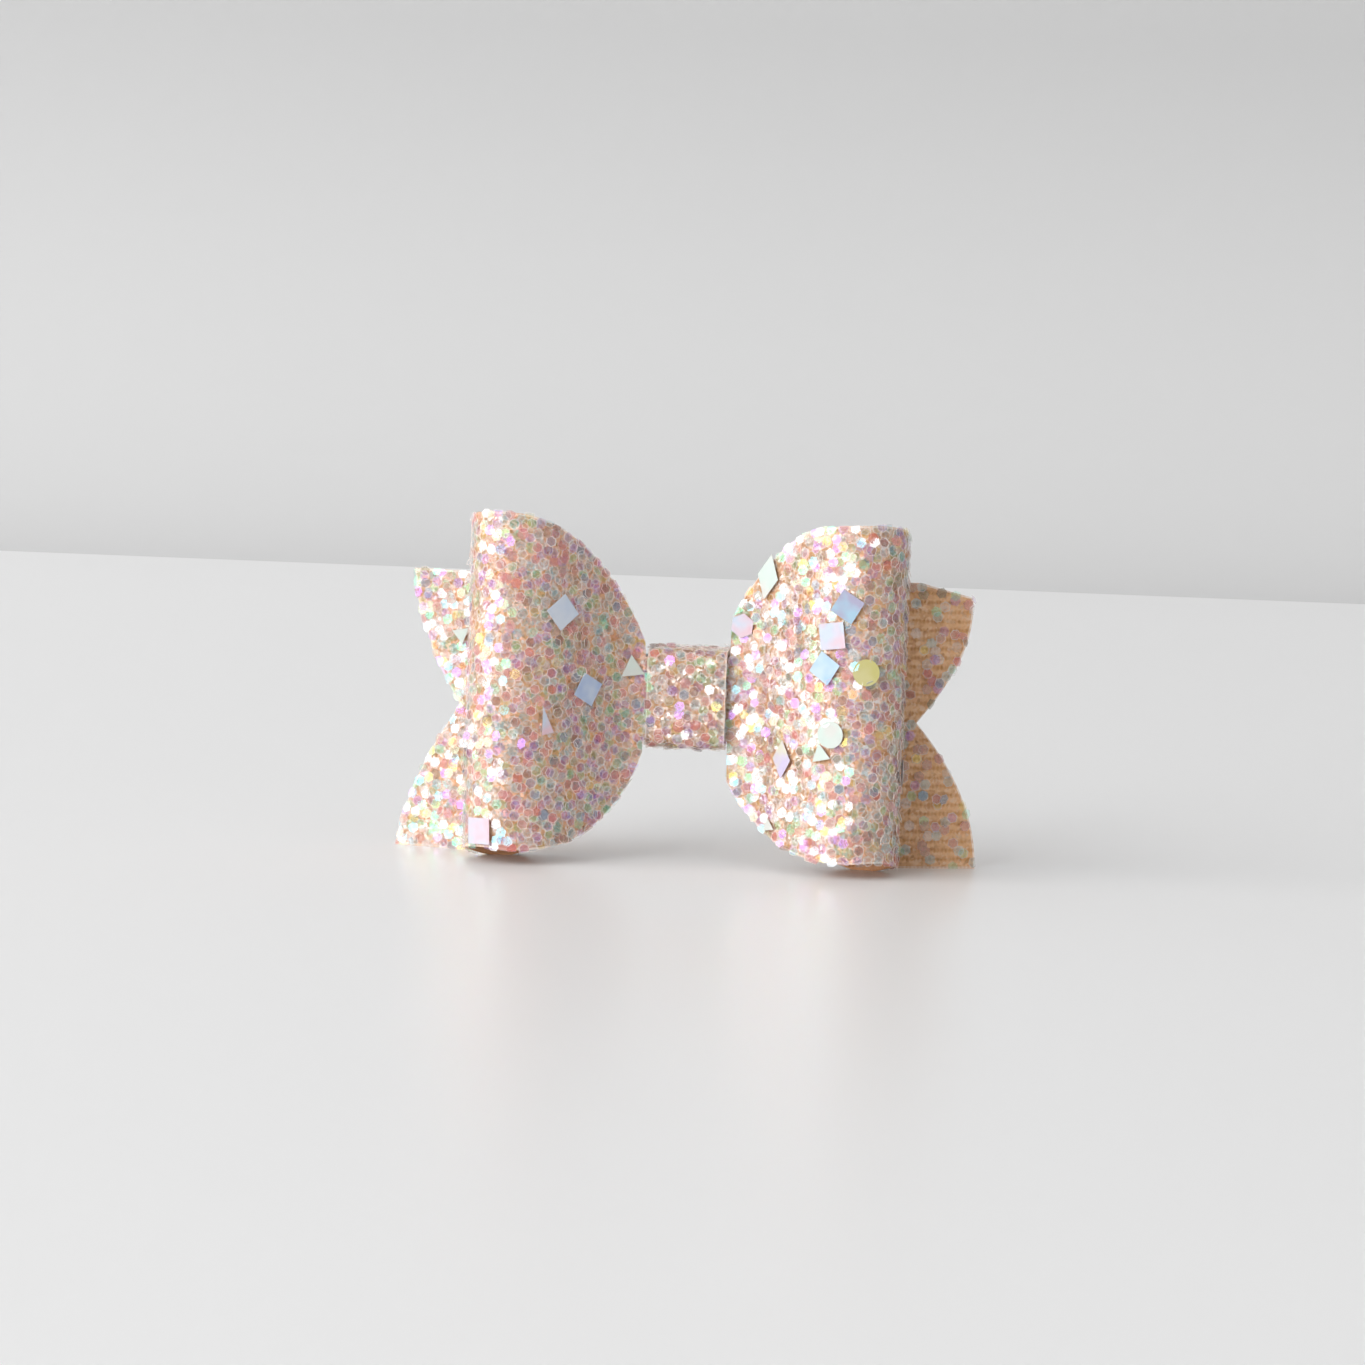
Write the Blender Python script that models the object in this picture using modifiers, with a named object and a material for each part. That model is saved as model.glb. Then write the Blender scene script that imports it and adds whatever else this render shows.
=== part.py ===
"""Hair bow of glitter canvas on a sprung alligator clip.

One strip of coated canvas is folded into two puffed loops, a fishtail strip is glued
behind it, and a narrow band gathers both over the fixed leaf of a steel clip.

Frame: +X along the bow, +Y towards the back, +Z up. The origin is the middle of the
bow's box at the bottom, where the loops and the tails stand on the table.
"""

import bisect
import math

import bmesh
import bpy
from mathutils import Vector
from mathutils.geometry import interpolate_bezier

MM = 0.001

# Sheet materials and what lies between the layers
SHEET = 0.8 * MM  # coated canvas
STEEL = 0.5 * MM  # clip leaves
GLUE = 0.4 * MM  # hot-melt pads
GLUE_GAP = 0.1 * MM  # pad to sheet
GLUE_CORNER = 1.3 * MM
GAP = 0.3 * MM  # pieces that only touch

# Loops
LOOP_HEIGHT = 36.0 * MM  # width of the strip at its widest
LOOP_REACH = 23.5 * MM  # middle of the bow to the outside of a fold
LOOP_CREST = 18.5 * MM  # middle of the bow to where the front panel turns
LOOP_PUFF = 7.2 * MM  # how far the crest stands forward of the waist
LOOP_RAKE = 0.25  # rise of the strip for each unit towards the front
LOOP_HITCH = 0.45 * MM  # how far the folds ride up
LOOP_DIP = 0.1 * MM  # edges drawn in at the folds
LEFT_NECK = 5.7 * MM  # half height at which a front panel leaves the band
RIGHT_NECK = 8.4 * MM
LEFT_TOP_FULLNESS = 1.1  # curve of a cut edge: 1 is a true ellipse, and less is fuller
LEFT_LOW_FULLNESS = 0.94
RIGHT_TOP_FULLNESS = 0.74
RIGHT_LOW_FULLNESS = 0.98
BACK_FULLNESS = 2.0  # the front panels hide the back ones
LOOP_SPRING = 5.0 * MM  # flat run of the panel where it leaves the band
LOOP_SHOULDER = 6.0 * MM  # flat run of the panel before the crest
LOOP_FOOT = 0.5 * MM  # worn flat where the loops stand
STRIP_END_GAP = 0.6 * MM  # between the strip's two ends

# Waist and band
WAIST_HEIGHT = 8.8 * MM
BAND_WIDTH = 8.5 * MM
BAND_CORNER = 1.3 * MM  # middle of the sheet at the band's bends
BAND_LAP = 5.0 * MM  # overlap of the band's ends, at the back

# Tails
LEFT_TAIL_TOP = 30.5 * MM  # height of the upper edges
RIGHT_TAIL_TOP = 31.1 * MM
RIGHT_TAIL_DROOP = 1.5 * MM  # fall of the right upper edge from the notch's reach to the tip
TAIL_NOTCH = 15.9 * MM  # height of the notches
TAIL_TOP_REACH = 30.4 * MM
TAIL_LOW_REACH = 31.75 * MM
TAIL_NOTCH_REACH = 24.8 * MM
TAIL_BULGE = 1.05 * MM  # outward curve of each cut end
TAIL_FLARE = 20.0 * MM  # where the tails reach their full width
TAIL_FLAT = 15.0 * MM  # flat middle, before the tails curl back
TAIL_CURL = 3.1 * MM  # how far the tips curl back

# Clip
CLIP_WIDTH = 8.0 * MM
CLIP_TIP = 20.0 * MM  # middle of the bow to the end of the fixed leaf
CLIP_HANDLE = 20.0 * MM  # middle of the bow to the ends of the handles
CLIP_CORNER = 2.5 * MM
PIN_X = 9.0 * MM
PIN_RISE = 2.9 * MM  # fixed leaf to the pin
PIN_RADIUS = 0.75 * MM
PIN_HEAD_RADIUS = 1.35 * MM
PIN_HEAD = 0.6 * MM
PIN_PLAY = 0.1 * MM
EAR_RADIUS = 2.0 * MM
EAR_FOOT = 6.4 * MM  # length of an ear along the leaf
JAW_RISE = 2.6 * MM  # pin to the moving leaf above it
JAW_CROWN = 3.0 * MM  # level run of the moving leaf to each side of the pin
JAW_TIP = 17.4 * MM  # middle of the bow to the bend at the teeth
JAW_TIP_WIDTH = 5.2 * MM
JAW_MOUTH = 1.6 * MM  # between the leaves at that bend
JAW_BEND = 1.5 * MM
HANDLE_RISE = 3.4 * MM
LIP_LEAN = 0.5 * MM
JAW_BEAD = 0.4 * MM  # pressed rib along the jaw
JAW_BEAD_RUN = 4.0 * MM  # where the rib fades in and out
JAW_BEAD_SHARE = 0.6  # of the jaw's width
TOOTH = 0.5 * MM
TEETH = 4

# Torsion spring
WIRE = 0.6 * MM
COIL_RADIUS = 1.6 * MM
COIL_PITCH = 1.1 * MM
COIL_TURNS = 3
COIL_POINTS = 10
LEG = 7.0 * MM

# Mesh steps
LOOP_STEPS = [0, 6, 40, 70, 94, 100]  # at the ends of the strip's stretches, from the front middle
FRONT_PANEL, BACK_PANEL = 2, 4  # stretches whose steps are crowded towards the waist
PANEL_CROWD = 1.5
TAIL_STEPS = 52
TAIL_ROWS = 10
BAND_STEPS = 72
CURVE_STEPS = 40
ARC_STEPS = 6
LEAF_STEPS = 72
ROUND_STEPS = 24
SMOOTH_ANGLE = math.radians(35)

# Layers from the front to the back, at the middle of each sheet
GLUE_LINE = GLUE + 2 * GLUE_GAP
LAYER = SHEET + GLUE_LINE
STRIP_BACK_Y = LAYER
TAIL_Y = STRIP_BACK_Y + LAYER
LEAF_Y = TAIL_Y + SHEET / 2 + GLUE_LINE + STEEL / 2
BAND_BACK_Y = LEAF_Y + STEEL / 2 + GAP + SHEET / 2
BAND_LAP_Y = BAND_BACK_Y + LAYER
BAND_FRONT_Y = -SHEET - GAP
PIN_Y = LEAF_Y + PIN_RISE
JAW_Y = PIN_Y + JAW_RISE

# Heights and widths that follow
WAIST_Z = LOOP_HEIGHT / 2 - LOOP_FOOT + LOOP_RAKE * STRIP_BACK_Y
WAIST_HALF = WAIST_HEIGHT / 2
BAND_HALF = BAND_WIDTH / 2
NECK_HALF = BAND_HALF + GAP
BAND_PATH_HALF = WAIST_HALF + GAP + SHEET / 2
EAR_OUTER = CLIP_WIDTH / 2
JAW_HALF = EAR_OUTER - STEEL - GAP

KAPPA = 4 / 3 * (math.sqrt(2) - 1)  # handle length of a quarter ellipse


class Path:
    """A line of points that gives the point at any distance along it."""

    def __init__(self, points):
        self.points = [Vector(p) for p in points]
        self.marks = [0.0]
        for a, b in zip(self.points, self.points[1:]):
            self.marks.append(self.marks[-1] + (b - a).length)
        self.length = self.marks[-1]

    def at(self, distance):
        distance = min(max(distance, 0.0), self.length)
        i = min(bisect.bisect_right(self.marks, distance), len(self.marks) - 1)
        share = (distance - self.marks[i - 1]) / (self.marks[i] - self.marks[i - 1])
        return self.points[i - 1].lerp(self.points[i], share)


def rounded_path(corners, radius):
    """A path through corners, with an arc of one radius at each inner corner."""
    corners = [Vector(c) for c in corners]
    points = [corners[0]]
    for before, corner, after in zip(corners, corners[1:], corners[2:]):
        into = (corner - before).normalized()
        out = (after - corner).normalized()
        turn = into.angle(out)
        run = radius * math.tan(turn / 2)
        handle = radius * 4 / 3 * math.tan(turn / 4)
        start = corner - into * run
        end = corner + out * run
        points += interpolate_bezier(start, start + into * handle, end - out * handle, end, ARC_STEPS)
    points.append(corners[-1])
    return Path(points)


def smooth_step(value):
    value = min(max(value, 0.0), 1.0)
    return value * value * (3 - 2 * value)


def crowded(u):
    """A share from 0 to 1 for u from -1 to 1, with the steps close together at both ends."""
    return (1 - math.cos(math.pi * (u + 1) / 2)) / 2


def rounded_half(half, radius, from_end):
    """Half width of a leaf near an end with rounded corners."""
    if from_end >= radius:
        return half
    return half - radius + math.sqrt(radius**2 - (radius - max(from_end, 0.0)) ** 2)


def collection(name):
    made = bpy.data.collections.new(name)
    bpy.context.scene.collection.children.link(made)
    return made


def material(name, colour, roughness, metallic):
    made = bpy.data.materials.new(name)
    made.use_nodes = True
    shader = made.node_tree.nodes["Principled BSDF"]
    shader.inputs["Base Color"].default_value = (*colour, 1.0)
    shader.inputs["Roughness"].default_value = roughness
    shader.inputs["Metallic"].default_value = metallic
    return made


def add_object(name, data, group):
    made = bpy.data.objects.new(name, data)
    group.objects.link(made)
    return made


def mesh_object(name, bm, group):
    mesh = bpy.data.meshes.new(name)
    bm.to_mesh(mesh)
    bm.free()
    return add_object(name, mesh, group)


def baked(obj):
    """Turn an object's curve and modifiers into one plain closed mesh."""
    graph = bpy.context.evaluated_depsgraph_get()
    mesh = bpy.data.meshes.new_from_object(obj.evaluated_get(graph), depsgraph=graph)
    bm = bmesh.new()
    bm.from_mesh(mesh)
    bmesh.ops.remove_doubles(bm, verts=bm.verts, dist=1e-7)
    bmesh.ops.recalc_face_normals(bm, faces=bm.faces)
    bm.to_mesh(mesh)
    bm.free()
    name = obj.name
    group = obj.users_collection[0]
    bpy.data.objects.remove(obj)
    mesh.name = name
    return add_object(name, mesh, group)


def boolean(obj, other, operation):
    modifier = obj.modifiers.new(operation.lower(), "BOOLEAN")
    modifier.operation = operation
    modifier.object = other


def finish(obj, look, root):
    """Shade a piece, give it its material and hang it on the bow."""
    obj.data.materials.clear()
    obj.data.materials.append(look)
    obj.data.shade_smooth()
    obj.data.set_sharp_from_angle(angle=SMOOTH_ANGLE)
    obj.parent = root
    return obj


def sheet(name, point, steps, rows, thickness, group):
    """A sheet whose middle surface is point(u, v) for u and v from -1 to 1."""
    bm = bmesh.new()
    bmesh.ops.create_grid(bm, x_segments=steps, y_segments=rows, size=1.0)
    for vertex in bm.verts:
        vertex.co = point(vertex.co.x, vertex.co.y)
    obj = mesh_object(name, bm, group)
    solidify = obj.modifiers.new("thickness", "SOLIDIFY")
    solidify.thickness = thickness
    solidify.offset = 0.0
    solidify.use_even_offset = True
    return baked(obj)


def box(name, low, high, group, corner=0.0):
    """A block between two corners, with its edges along Y rounded."""
    bm = bmesh.new()
    bmesh.ops.create_cube(bm, size=1.0)
    for vertex in bm.verts:
        vertex.co = [l if c < 0 else h for c, l, h in zip(vertex.co, low, high)]
    if corner:
        upright = [e for e in bm.edges if abs(e.verts[0].co.y - e.verts[1].co.y) > 1e-9]
        bmesh.ops.bevel(bm, geom=upright, offset=corner, segments=ARC_STEPS, profile=0.5, affect="EDGES")
    return mesh_object(name, bm, group)


def cylinder(name, radius, depth, place, group):
    bm = bmesh.new()
    bmesh.ops.create_cone(
        bm, cap_ends=True, segments=ROUND_STEPS, radius1=radius, radius2=radius, depth=depth
    )
    bmesh.ops.translate(bm, verts=bm.verts, vec=place)
    return mesh_object(name, bm, group)


def cutter(obj):
    obj.hide_render = True
    obj.display_type = "WIRE"
    return obj


def loop_plan():
    """The strip's right half seen from above, and the distances where its shape changes."""
    neck = Vector((NECK_HALF, 0, 0))
    crest = Vector((LOOP_CREST, -LOOP_PUFF, 0))
    back = Vector((LOOP_CREST, STRIP_BACK_Y, 0))
    fold = Vector((LOOP_REACH - SHEET / 2, (crest.y + back.y) / 2, 0))
    end = Vector((STRIP_END_GAP / 2, STRIP_BACK_Y, 0))
    across = Vector(((fold.x - crest.x) * KAPPA, 0, 0))
    along = Vector((0, (fold.y - crest.y) * KAPPA, 0))
    spring = Vector((LOOP_SPRING, 0, 0))
    shoulder = Vector((LOOP_SHOULDER, 0, 0))
    panel = interpolate_bezier(neck, neck + spring, crest - shoulder, crest, CURVE_STEPS)
    front_roll = interpolate_bezier(crest, crest + across, fold - along, fold, CURVE_STEPS)
    back_roll = interpolate_bezier(fold, fold + along, back + across, back, CURVE_STEPS)
    points = [Vector((0, 0, 0))] + panel + front_roll[1:] + back_roll[1:]
    path = Path(points + [end])
    crest_mark = Path(points[: CURVE_STEPS + 1]).length
    back_mark = Path(points).length
    back_neck_mark = path.length - (NECK_HALF - end.x)
    return path, [0.0, NECK_HALF, crest_mark, back_mark, back_neck_mark, path.length]


def make_loops(group, cutters):
    path, marks = loop_plan()
    _, neck_mark, crest_mark, back_mark, back_neck_mark, _ = marks
    half = LOOP_HEIGHT / 2

    def drawn_in(share, neck, fullness):
        """Height of a D-shaped panel's edge, from the fold (0) to the waist (1)."""
        return half * math.sqrt(1 - (1 - (neck / half) ** 2) * share ** (2 / fullness))

    def edge(distance, neck, fullness):
        """Height of a cut edge from the strip's middle, at a distance from the front middle."""
        if neck_mark < distance < crest_mark:
            return drawn_in((crest_mark - distance) / (crest_mark - neck_mark), neck, fullness)
        if crest_mark <= distance <= back_mark:
            return half - LOOP_DIP * math.sin(math.pi * (distance - crest_mark) / (back_mark - crest_mark))
        if back_mark < distance < back_neck_mark:
            share = (distance - back_mark) / (back_neck_mark - back_mark)
            return drawn_in(share, WAIST_HALF, BACK_FULLNESS)
        return WAIST_HALF

    def station(step):
        """Distance along the strip at a mesh step from the front middle."""
        i = min(bisect.bisect_right(LOOP_STEPS, step), len(marks) - 1)
        share = (step - LOOP_STEPS[i - 1]) / (LOOP_STEPS[i] - LOOP_STEPS[i - 1])
        if i == FRONT_PANEL:
            share = share**PANEL_CROWD
        if i == BACK_PANEL:
            share = 1 - (1 - share) ** PANEL_CROWD
        return marks[i - 1] + (marks[i] - marks[i - 1]) * share

    def point(u, v):
        neck, top, low = LEFT_NECK, LEFT_TOP_FULLNESS, LEFT_LOW_FULLNESS
        if u > 0:
            neck, top, low = RIGHT_NECK, RIGHT_TOP_FULLNESS, RIGHT_LOW_FULLNESS
        distance = station(round(abs(u) * LOOP_STEPS[-1]))
        spot = path.at(distance)
        raked = min(1.0, max(0.0, (back_neck_mark - distance) / (back_neck_mark - back_mark)))
        fold = min(1.0, max(0.0, (distance - crest_mark) / (back_mark - crest_mark)))
        middle = WAIST_Z - LOOP_RAKE * spot.y * raked + LOOP_HITCH * math.sin(math.pi * fold)
        height = edge(distance, neck, top if v > 0 else low)
        return (math.copysign(spot.x, u), spot.y, middle + v * height)

    loops = sheet("bow_loops", point, 2 * LOOP_STEPS[-1], 2, SHEET, group)
    reach = 2 * LOOP_REACH
    table = box("table_cut", (-reach, -reach, -LOOP_HEIGHT), (reach, reach, 0), cutters)
    boolean(loops, cutter(table), "DIFFERENCE")
    return baked(loops)


def make_tails(group):
    def edge(reach, height, waist_edge):
        flare = smooth_step((reach - BAND_HALF) / (TAIL_FLARE - BAND_HALF))
        return waist_edge + (height - waist_edge) * flare

    def point(u, v):
        tip = TAIL_TOP_REACH if v > 0 else TAIL_LOW_REACH
        share = abs(v)
        end = TAIL_NOTCH_REACH + (tip - TAIL_NOTCH_REACH) * share + 4 * TAIL_BULGE * share * (1 - share)
        reach = abs(u) * end
        middle = edge(reach, TAIL_NOTCH, WAIST_Z)
        outer = edge(reach, 0.0, WAIST_Z - WAIST_HALF)
        if v > 0:
            outer = edge(reach, LEFT_TAIL_TOP, WAIST_Z + WAIST_HALF)
        if v > 0 and u > 0:
            droop = max(reach - TAIL_NOTCH_REACH, 0.0) / (TAIL_TOP_REACH - TAIL_NOTCH_REACH)
            outer = edge(reach, RIGHT_TAIL_TOP - RIGHT_TAIL_DROOP * droop, WAIST_Z + WAIST_HALF)
        curl = max(reach - TAIL_FLAT, 0.0) / (TAIL_LOW_REACH - TAIL_FLAT)
        return (math.copysign(reach, u), TAIL_Y + TAIL_CURL * curl**2, middle + (outer - middle) * share)

    return sheet("bow_tails", point, TAIL_STEPS, TAIL_ROWS, SHEET, group)


def make_band(group):
    lap = BAND_LAP / 2
    corners = [
        (0, BAND_BACK_Y, lap),
        (0, BAND_BACK_Y, -BAND_PATH_HALF),
        (0, BAND_FRONT_Y, -BAND_PATH_HALF),
        (0, BAND_FRONT_Y, BAND_PATH_HALF),
        (0, BAND_LAP_Y, BAND_PATH_HALF),
        (0, BAND_LAP_Y, -lap),
    ]
    path = rounded_path(corners, BAND_CORNER)

    def point(u, v):
        spot = path.at((u + 1) / 2 * path.length)
        return (v * BAND_HALF, spot.y, WAIST_Z + spot.z)

    return sheet("centre_band", point, BAND_STEPS, 2, SHEET, group)


def make_glue(name, y, width, height, group):
    """A pressed pad of hot-melt glue, starting at the face that lies at y."""
    low = (-width / 2, y + GLUE_GAP, WAIST_Z - height / 2)
    high = (width / 2, y + GLUE_GAP + GLUE, WAIST_Z + height / 2)
    return box(name, low, high, group, corner=GLUE_CORNER)


def ear(name, foot_y, side, z, group):
    """A clip ear: a plate from a leaf at foot_y, rounded over the pin's end."""
    data = bpy.data.curves.new(name, "CURVE")
    data.dimensions = "2D"
    data.fill_mode = "BOTH"
    data.extrude = STEEL / 2
    arc = [math.pi * i / ROUND_STEPS for i in range(ROUND_STEPS + 1)]
    outline = [(PIN_X + EAR_RADIUS * math.cos(a), PIN_Y + side * EAR_RADIUS * math.sin(a)) for a in arc]
    outline += [(PIN_X - EAR_FOOT / 2, foot_y), (PIN_X + EAR_FOOT / 2, foot_y)]
    spline = data.splines.new("POLY")
    spline.points.add(len(outline) - 1)
    for target, spot in zip(spline.points, outline):
        target.co = (*spot, 0, 1)
    spline.use_cyclic_u = True
    obj = add_object(name, data, group)
    obj.location = (0, 0, WAIST_Z + z)
    bpy.context.view_layer.update()
    place = obj.matrix_world.copy()
    plate = baked(obj)
    plate.data.transform(place)
    return plate


def add_ears(leaf, foot_y, side, outer, cutters):
    """Join two ears to a leaf and drill them for the pin."""
    for z in (outer - STEEL / 2, STEEL / 2 - outer):
        boolean(leaf, cutter(ear(f"{leaf.name}_ear", foot_y, side, z, cutters)), "UNION")
    pivot = (PIN_X, PIN_Y, WAIST_Z)
    drill = cylinder(f"{leaf.name}_drill", PIN_RADIUS + PIN_PLAY, 2 * CLIP_WIDTH, pivot, cutters)
    boolean(leaf, cutter(drill), "DIFFERENCE")
    return baked(leaf)


def make_fixed_leaf(group, cutters):
    """The leaf that is glued to the bow: flat, with rounded ends and two ears."""
    length = CLIP_TIP + CLIP_HANDLE

    def point(u, v):
        x = crowded(u) * length - CLIP_TIP
        half = rounded_half(EAR_OUTER, CLIP_CORNER, min(x + CLIP_TIP, CLIP_HANDLE - x))
        return (x, LEAF_Y, WAIST_Z + v * half)

    leaf = sheet("clip_fixed_leaf", point, LEAF_STEPS, 2, STEEL, group)
    return add_ears(leaf, LEAF_Y, 1, EAR_OUTER, cutters)


def make_jaw(group, cutters):
    """The sprung leaf: handle, crown over the spring, tapered jaw and toothed lip."""
    lip_y = LEAF_Y + STEEL / 2 + GAP
    corners = [
        (CLIP_HANDLE, JAW_Y + HANDLE_RISE, 0),
        (PIN_X + JAW_CROWN, JAW_Y, 0),
        (PIN_X - JAW_CROWN, JAW_Y, 0),
        (-JAW_TIP, LEAF_Y + JAW_MOUTH + STEEL / 2, 0),
        (-JAW_TIP - LIP_LEAN, lip_y, 0),
    ]
    path = rounded_path(corners, JAW_BEND)
    handle = (Vector(corners[0]) - Vector(corners[1])).length
    bead_start = handle + 2 * JAW_CROWN
    bead_end = path.length - JAW_MOUTH - JAW_BEND

    def half_width(distance):
        flare = smooth_step(1 - distance / (handle - EAR_FOOT / 2 + JAW_CROWN))
        taper = smooth_step((distance - handle) / (path.length - handle))
        half = JAW_HALF + (EAR_OUTER - JAW_HALF) * flare + (JAW_TIP_WIDTH / 2 - JAW_HALF) * taper
        return rounded_half(half, CLIP_CORNER, distance)

    def point(u, v):
        distance = crowded(u) * path.length
        spot = path.at(distance)
        valley = round((v + 1) * TEETH) % 2 == 0
        if valley:
            spot = path.at(distance - TOOTH * smooth_step((distance - bead_end) / (path.length - bead_end)))
        inside = min(distance - bead_start, bead_end - distance)
        bead = JAW_BEAD * smooth_step(inside / JAW_BEAD_RUN) * smooth_step(1 - abs(v) / JAW_BEAD_SHARE)
        return (spot.x, spot.y + bead, WAIST_Z + v * half_width(distance))

    leaf = sheet("clip_jaw", point, LEAF_STEPS, 2 * TEETH, STEEL, group)
    jaw = add_ears(leaf, JAW_Y, -1, JAW_HALF, cutters)
    pivot = Vector((PIN_X, PIN_Y, WAIST_Z))
    for vertex in jaw.data.vertices:
        vertex.co -= pivot
    jaw.location = pivot
    return jaw


def make_pin(group):
    """A rivet through the four ears, with a domed head at each end."""
    bearing = EAR_OUTER + GAP / 2
    profile = [(0, bearing + PIN_HEAD)]
    for i in range(1, ARC_STEPS + 1):
        angle = math.pi / 2 * i / ARC_STEPS
        profile.append((PIN_HEAD_RADIUS * math.sin(angle), bearing + PIN_HEAD * math.cos(angle)))
    profile.append((PIN_RADIUS, bearing))
    profile += [(radius, -z) for radius, z in reversed(profile)]
    bm = bmesh.new()
    ring = [bm.verts.new((radius, 0, z)) for radius, z in profile]
    for a, b in zip(ring, ring[1:]):
        bm.edges.new((a, b))
    obj = mesh_object("clip_pin", bm, group)
    screw = obj.modifiers.new("turn", "SCREW")
    screw.steps = ROUND_STEPS
    screw.render_steps = ROUND_STEPS
    screw.use_merge_vertices = True
    screw.merge_threshold = 1e-6
    pin = baked(obj)
    pin.location = (PIN_X, PIN_Y, WAIST_Z)
    return pin


def spring_route():
    """Leg on the fixed leaf, coil round the pin, bent leg under the jaw's handle."""
    seat = STEEL / 2 + GAP + WIRE / 2
    low_end = Vector((LEG, seat - PIN_RISE, 0))
    knee = Vector((JAW_CROWN, JAW_RISE - seat, 0))
    handle = Vector((CLIP_HANDLE - PIN_X - JAW_CROWN, HANDLE_RISE, 0))
    high_end = knee + handle.normalized() * (LEG - JAW_CROWN)

    def tangent(end, side):
        """Angle on the coil where a straight leg to end leaves it."""
        return math.atan2(end.y, end.x) + side * math.acos(COIL_RADIUS / end.xy.length)

    first = tangent(low_end, -1)
    last = tangent(knee, 1)
    sweep = (first - last) % (2 * math.pi) + 2 * math.pi * COIL_TURNS
    rise = COIL_PITCH * sweep / (2 * math.pi)
    count = round(COIL_POINTS * sweep / (2 * math.pi))
    points = [low_end + Vector((0, 0, -rise / 2))]
    for i in range(count + 1):
        angle = first - sweep * i / count
        turned = Vector((math.cos(angle), math.sin(angle), 0)) * COIL_RADIUS
        points.append(turned + Vector((0, 0, rise * (i / count - 0.5))))
    points += [end + Vector((0, 0, rise / 2)) for end in (knee, high_end)]
    return [Vector((PIN_X, PIN_Y, WAIST_Z)) + p for p in points]


def make_spring(group):
    points = spring_route()
    apart = COIL_POINTS // 2
    least = min((a - b).length for i, a in enumerate(points) for b in points[i + apart :])
    print(f"spring: least gap to itself {(least - WIRE) / MM:.2f} mm")
    data = bpy.data.curves.new("clip_spring", "CURVE")
    data.dimensions = "3D"
    data.bevel_depth = WIRE / 2
    data.bevel_resolution = 1
    data.use_fill_caps = True
    spline = data.splines.new("POLY")
    spline.points.add(len(points) - 1)
    for target, spot in zip(spline.points, points):
        target.co = (*spot, 1)
    return baked(add_object("clip_spring", data, group))


def centre_on_origin(root, parts):
    """Move the bow so that the middle of its box, at the bottom, is the origin."""
    bpy.context.view_layer.update()
    corners = [p.matrix_world @ Vector(c) for p in parts for c in p.bound_box]
    low = [min(c[i] for c in corners) for i in range(3)]
    high = [max(c[i] for c in corners) for i in range(3)]
    root.location = (-(low[0] + high[0]) / 2, -(low[1] + high[1]) / 2, -low[2])


def main():
    for obj in list(bpy.data.objects):
        bpy.data.objects.remove(obj)
    parts = collection("hair_bow")
    cutters = collection("cutters")
    root = add_object("bow_frame", None, parts)

    canvas = material("glitter_canvas", (0.62, 0.45, 0.38), 0.45, 0.0)
    glue = material("hot_melt_glue", (0.82, 0.78, 0.66), 0.4, 0.0)
    nickel = material("nickel_plated_steel", (0.66, 0.65, 0.62), 0.25, 1.0)

    pad = BAND_WIDTH - 2 * GAP
    waist = WAIST_HEIGHT - 2 * GAP
    face = SHEET / 2
    fabric = [make_loops(parts, cutters), make_tails(parts), make_band(parts)]
    pads = [
        make_glue("glue_strip_ends", face, pad, waist, parts),
        make_glue("glue_tails", STRIP_BACK_Y + face, pad, waist, parts),
        make_glue("glue_clip", TAIL_Y + face, pad, CLIP_WIDTH - 2 * GAP, parts),
        make_glue("glue_band_lap", BAND_BACK_Y + face, pad, BAND_LAP - 2 * GAP, parts),
    ]
    jaw = make_jaw(parts, cutters)
    steel = [make_fixed_leaf(parts, cutters), jaw, make_pin(parts), make_spring(parts)]
    for look, pieces in ((canvas, fabric), (glue, pads), (nickel, steel)):
        for piece in pieces:
            finish(piece, look, root)
    centre_on_origin(root, fabric + pads + steel)
    bpy.context.view_layer.update()
    print("jaw hinge at", [round(c, 6) for c in jaw.matrix_world.translation])


main()
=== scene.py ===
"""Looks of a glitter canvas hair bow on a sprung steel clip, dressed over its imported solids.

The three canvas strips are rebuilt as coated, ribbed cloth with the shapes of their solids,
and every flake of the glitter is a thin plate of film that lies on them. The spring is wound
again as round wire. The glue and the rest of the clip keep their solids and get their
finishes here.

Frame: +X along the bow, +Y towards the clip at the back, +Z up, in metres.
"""

import bisect
import math
import random

import bpy
from bpy.props import FloatProperty, FloatVectorProperty, IntProperty, PointerProperty
from mathutils import Matrix, Vector
from mathutils.geometry import interpolate_bezier


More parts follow.
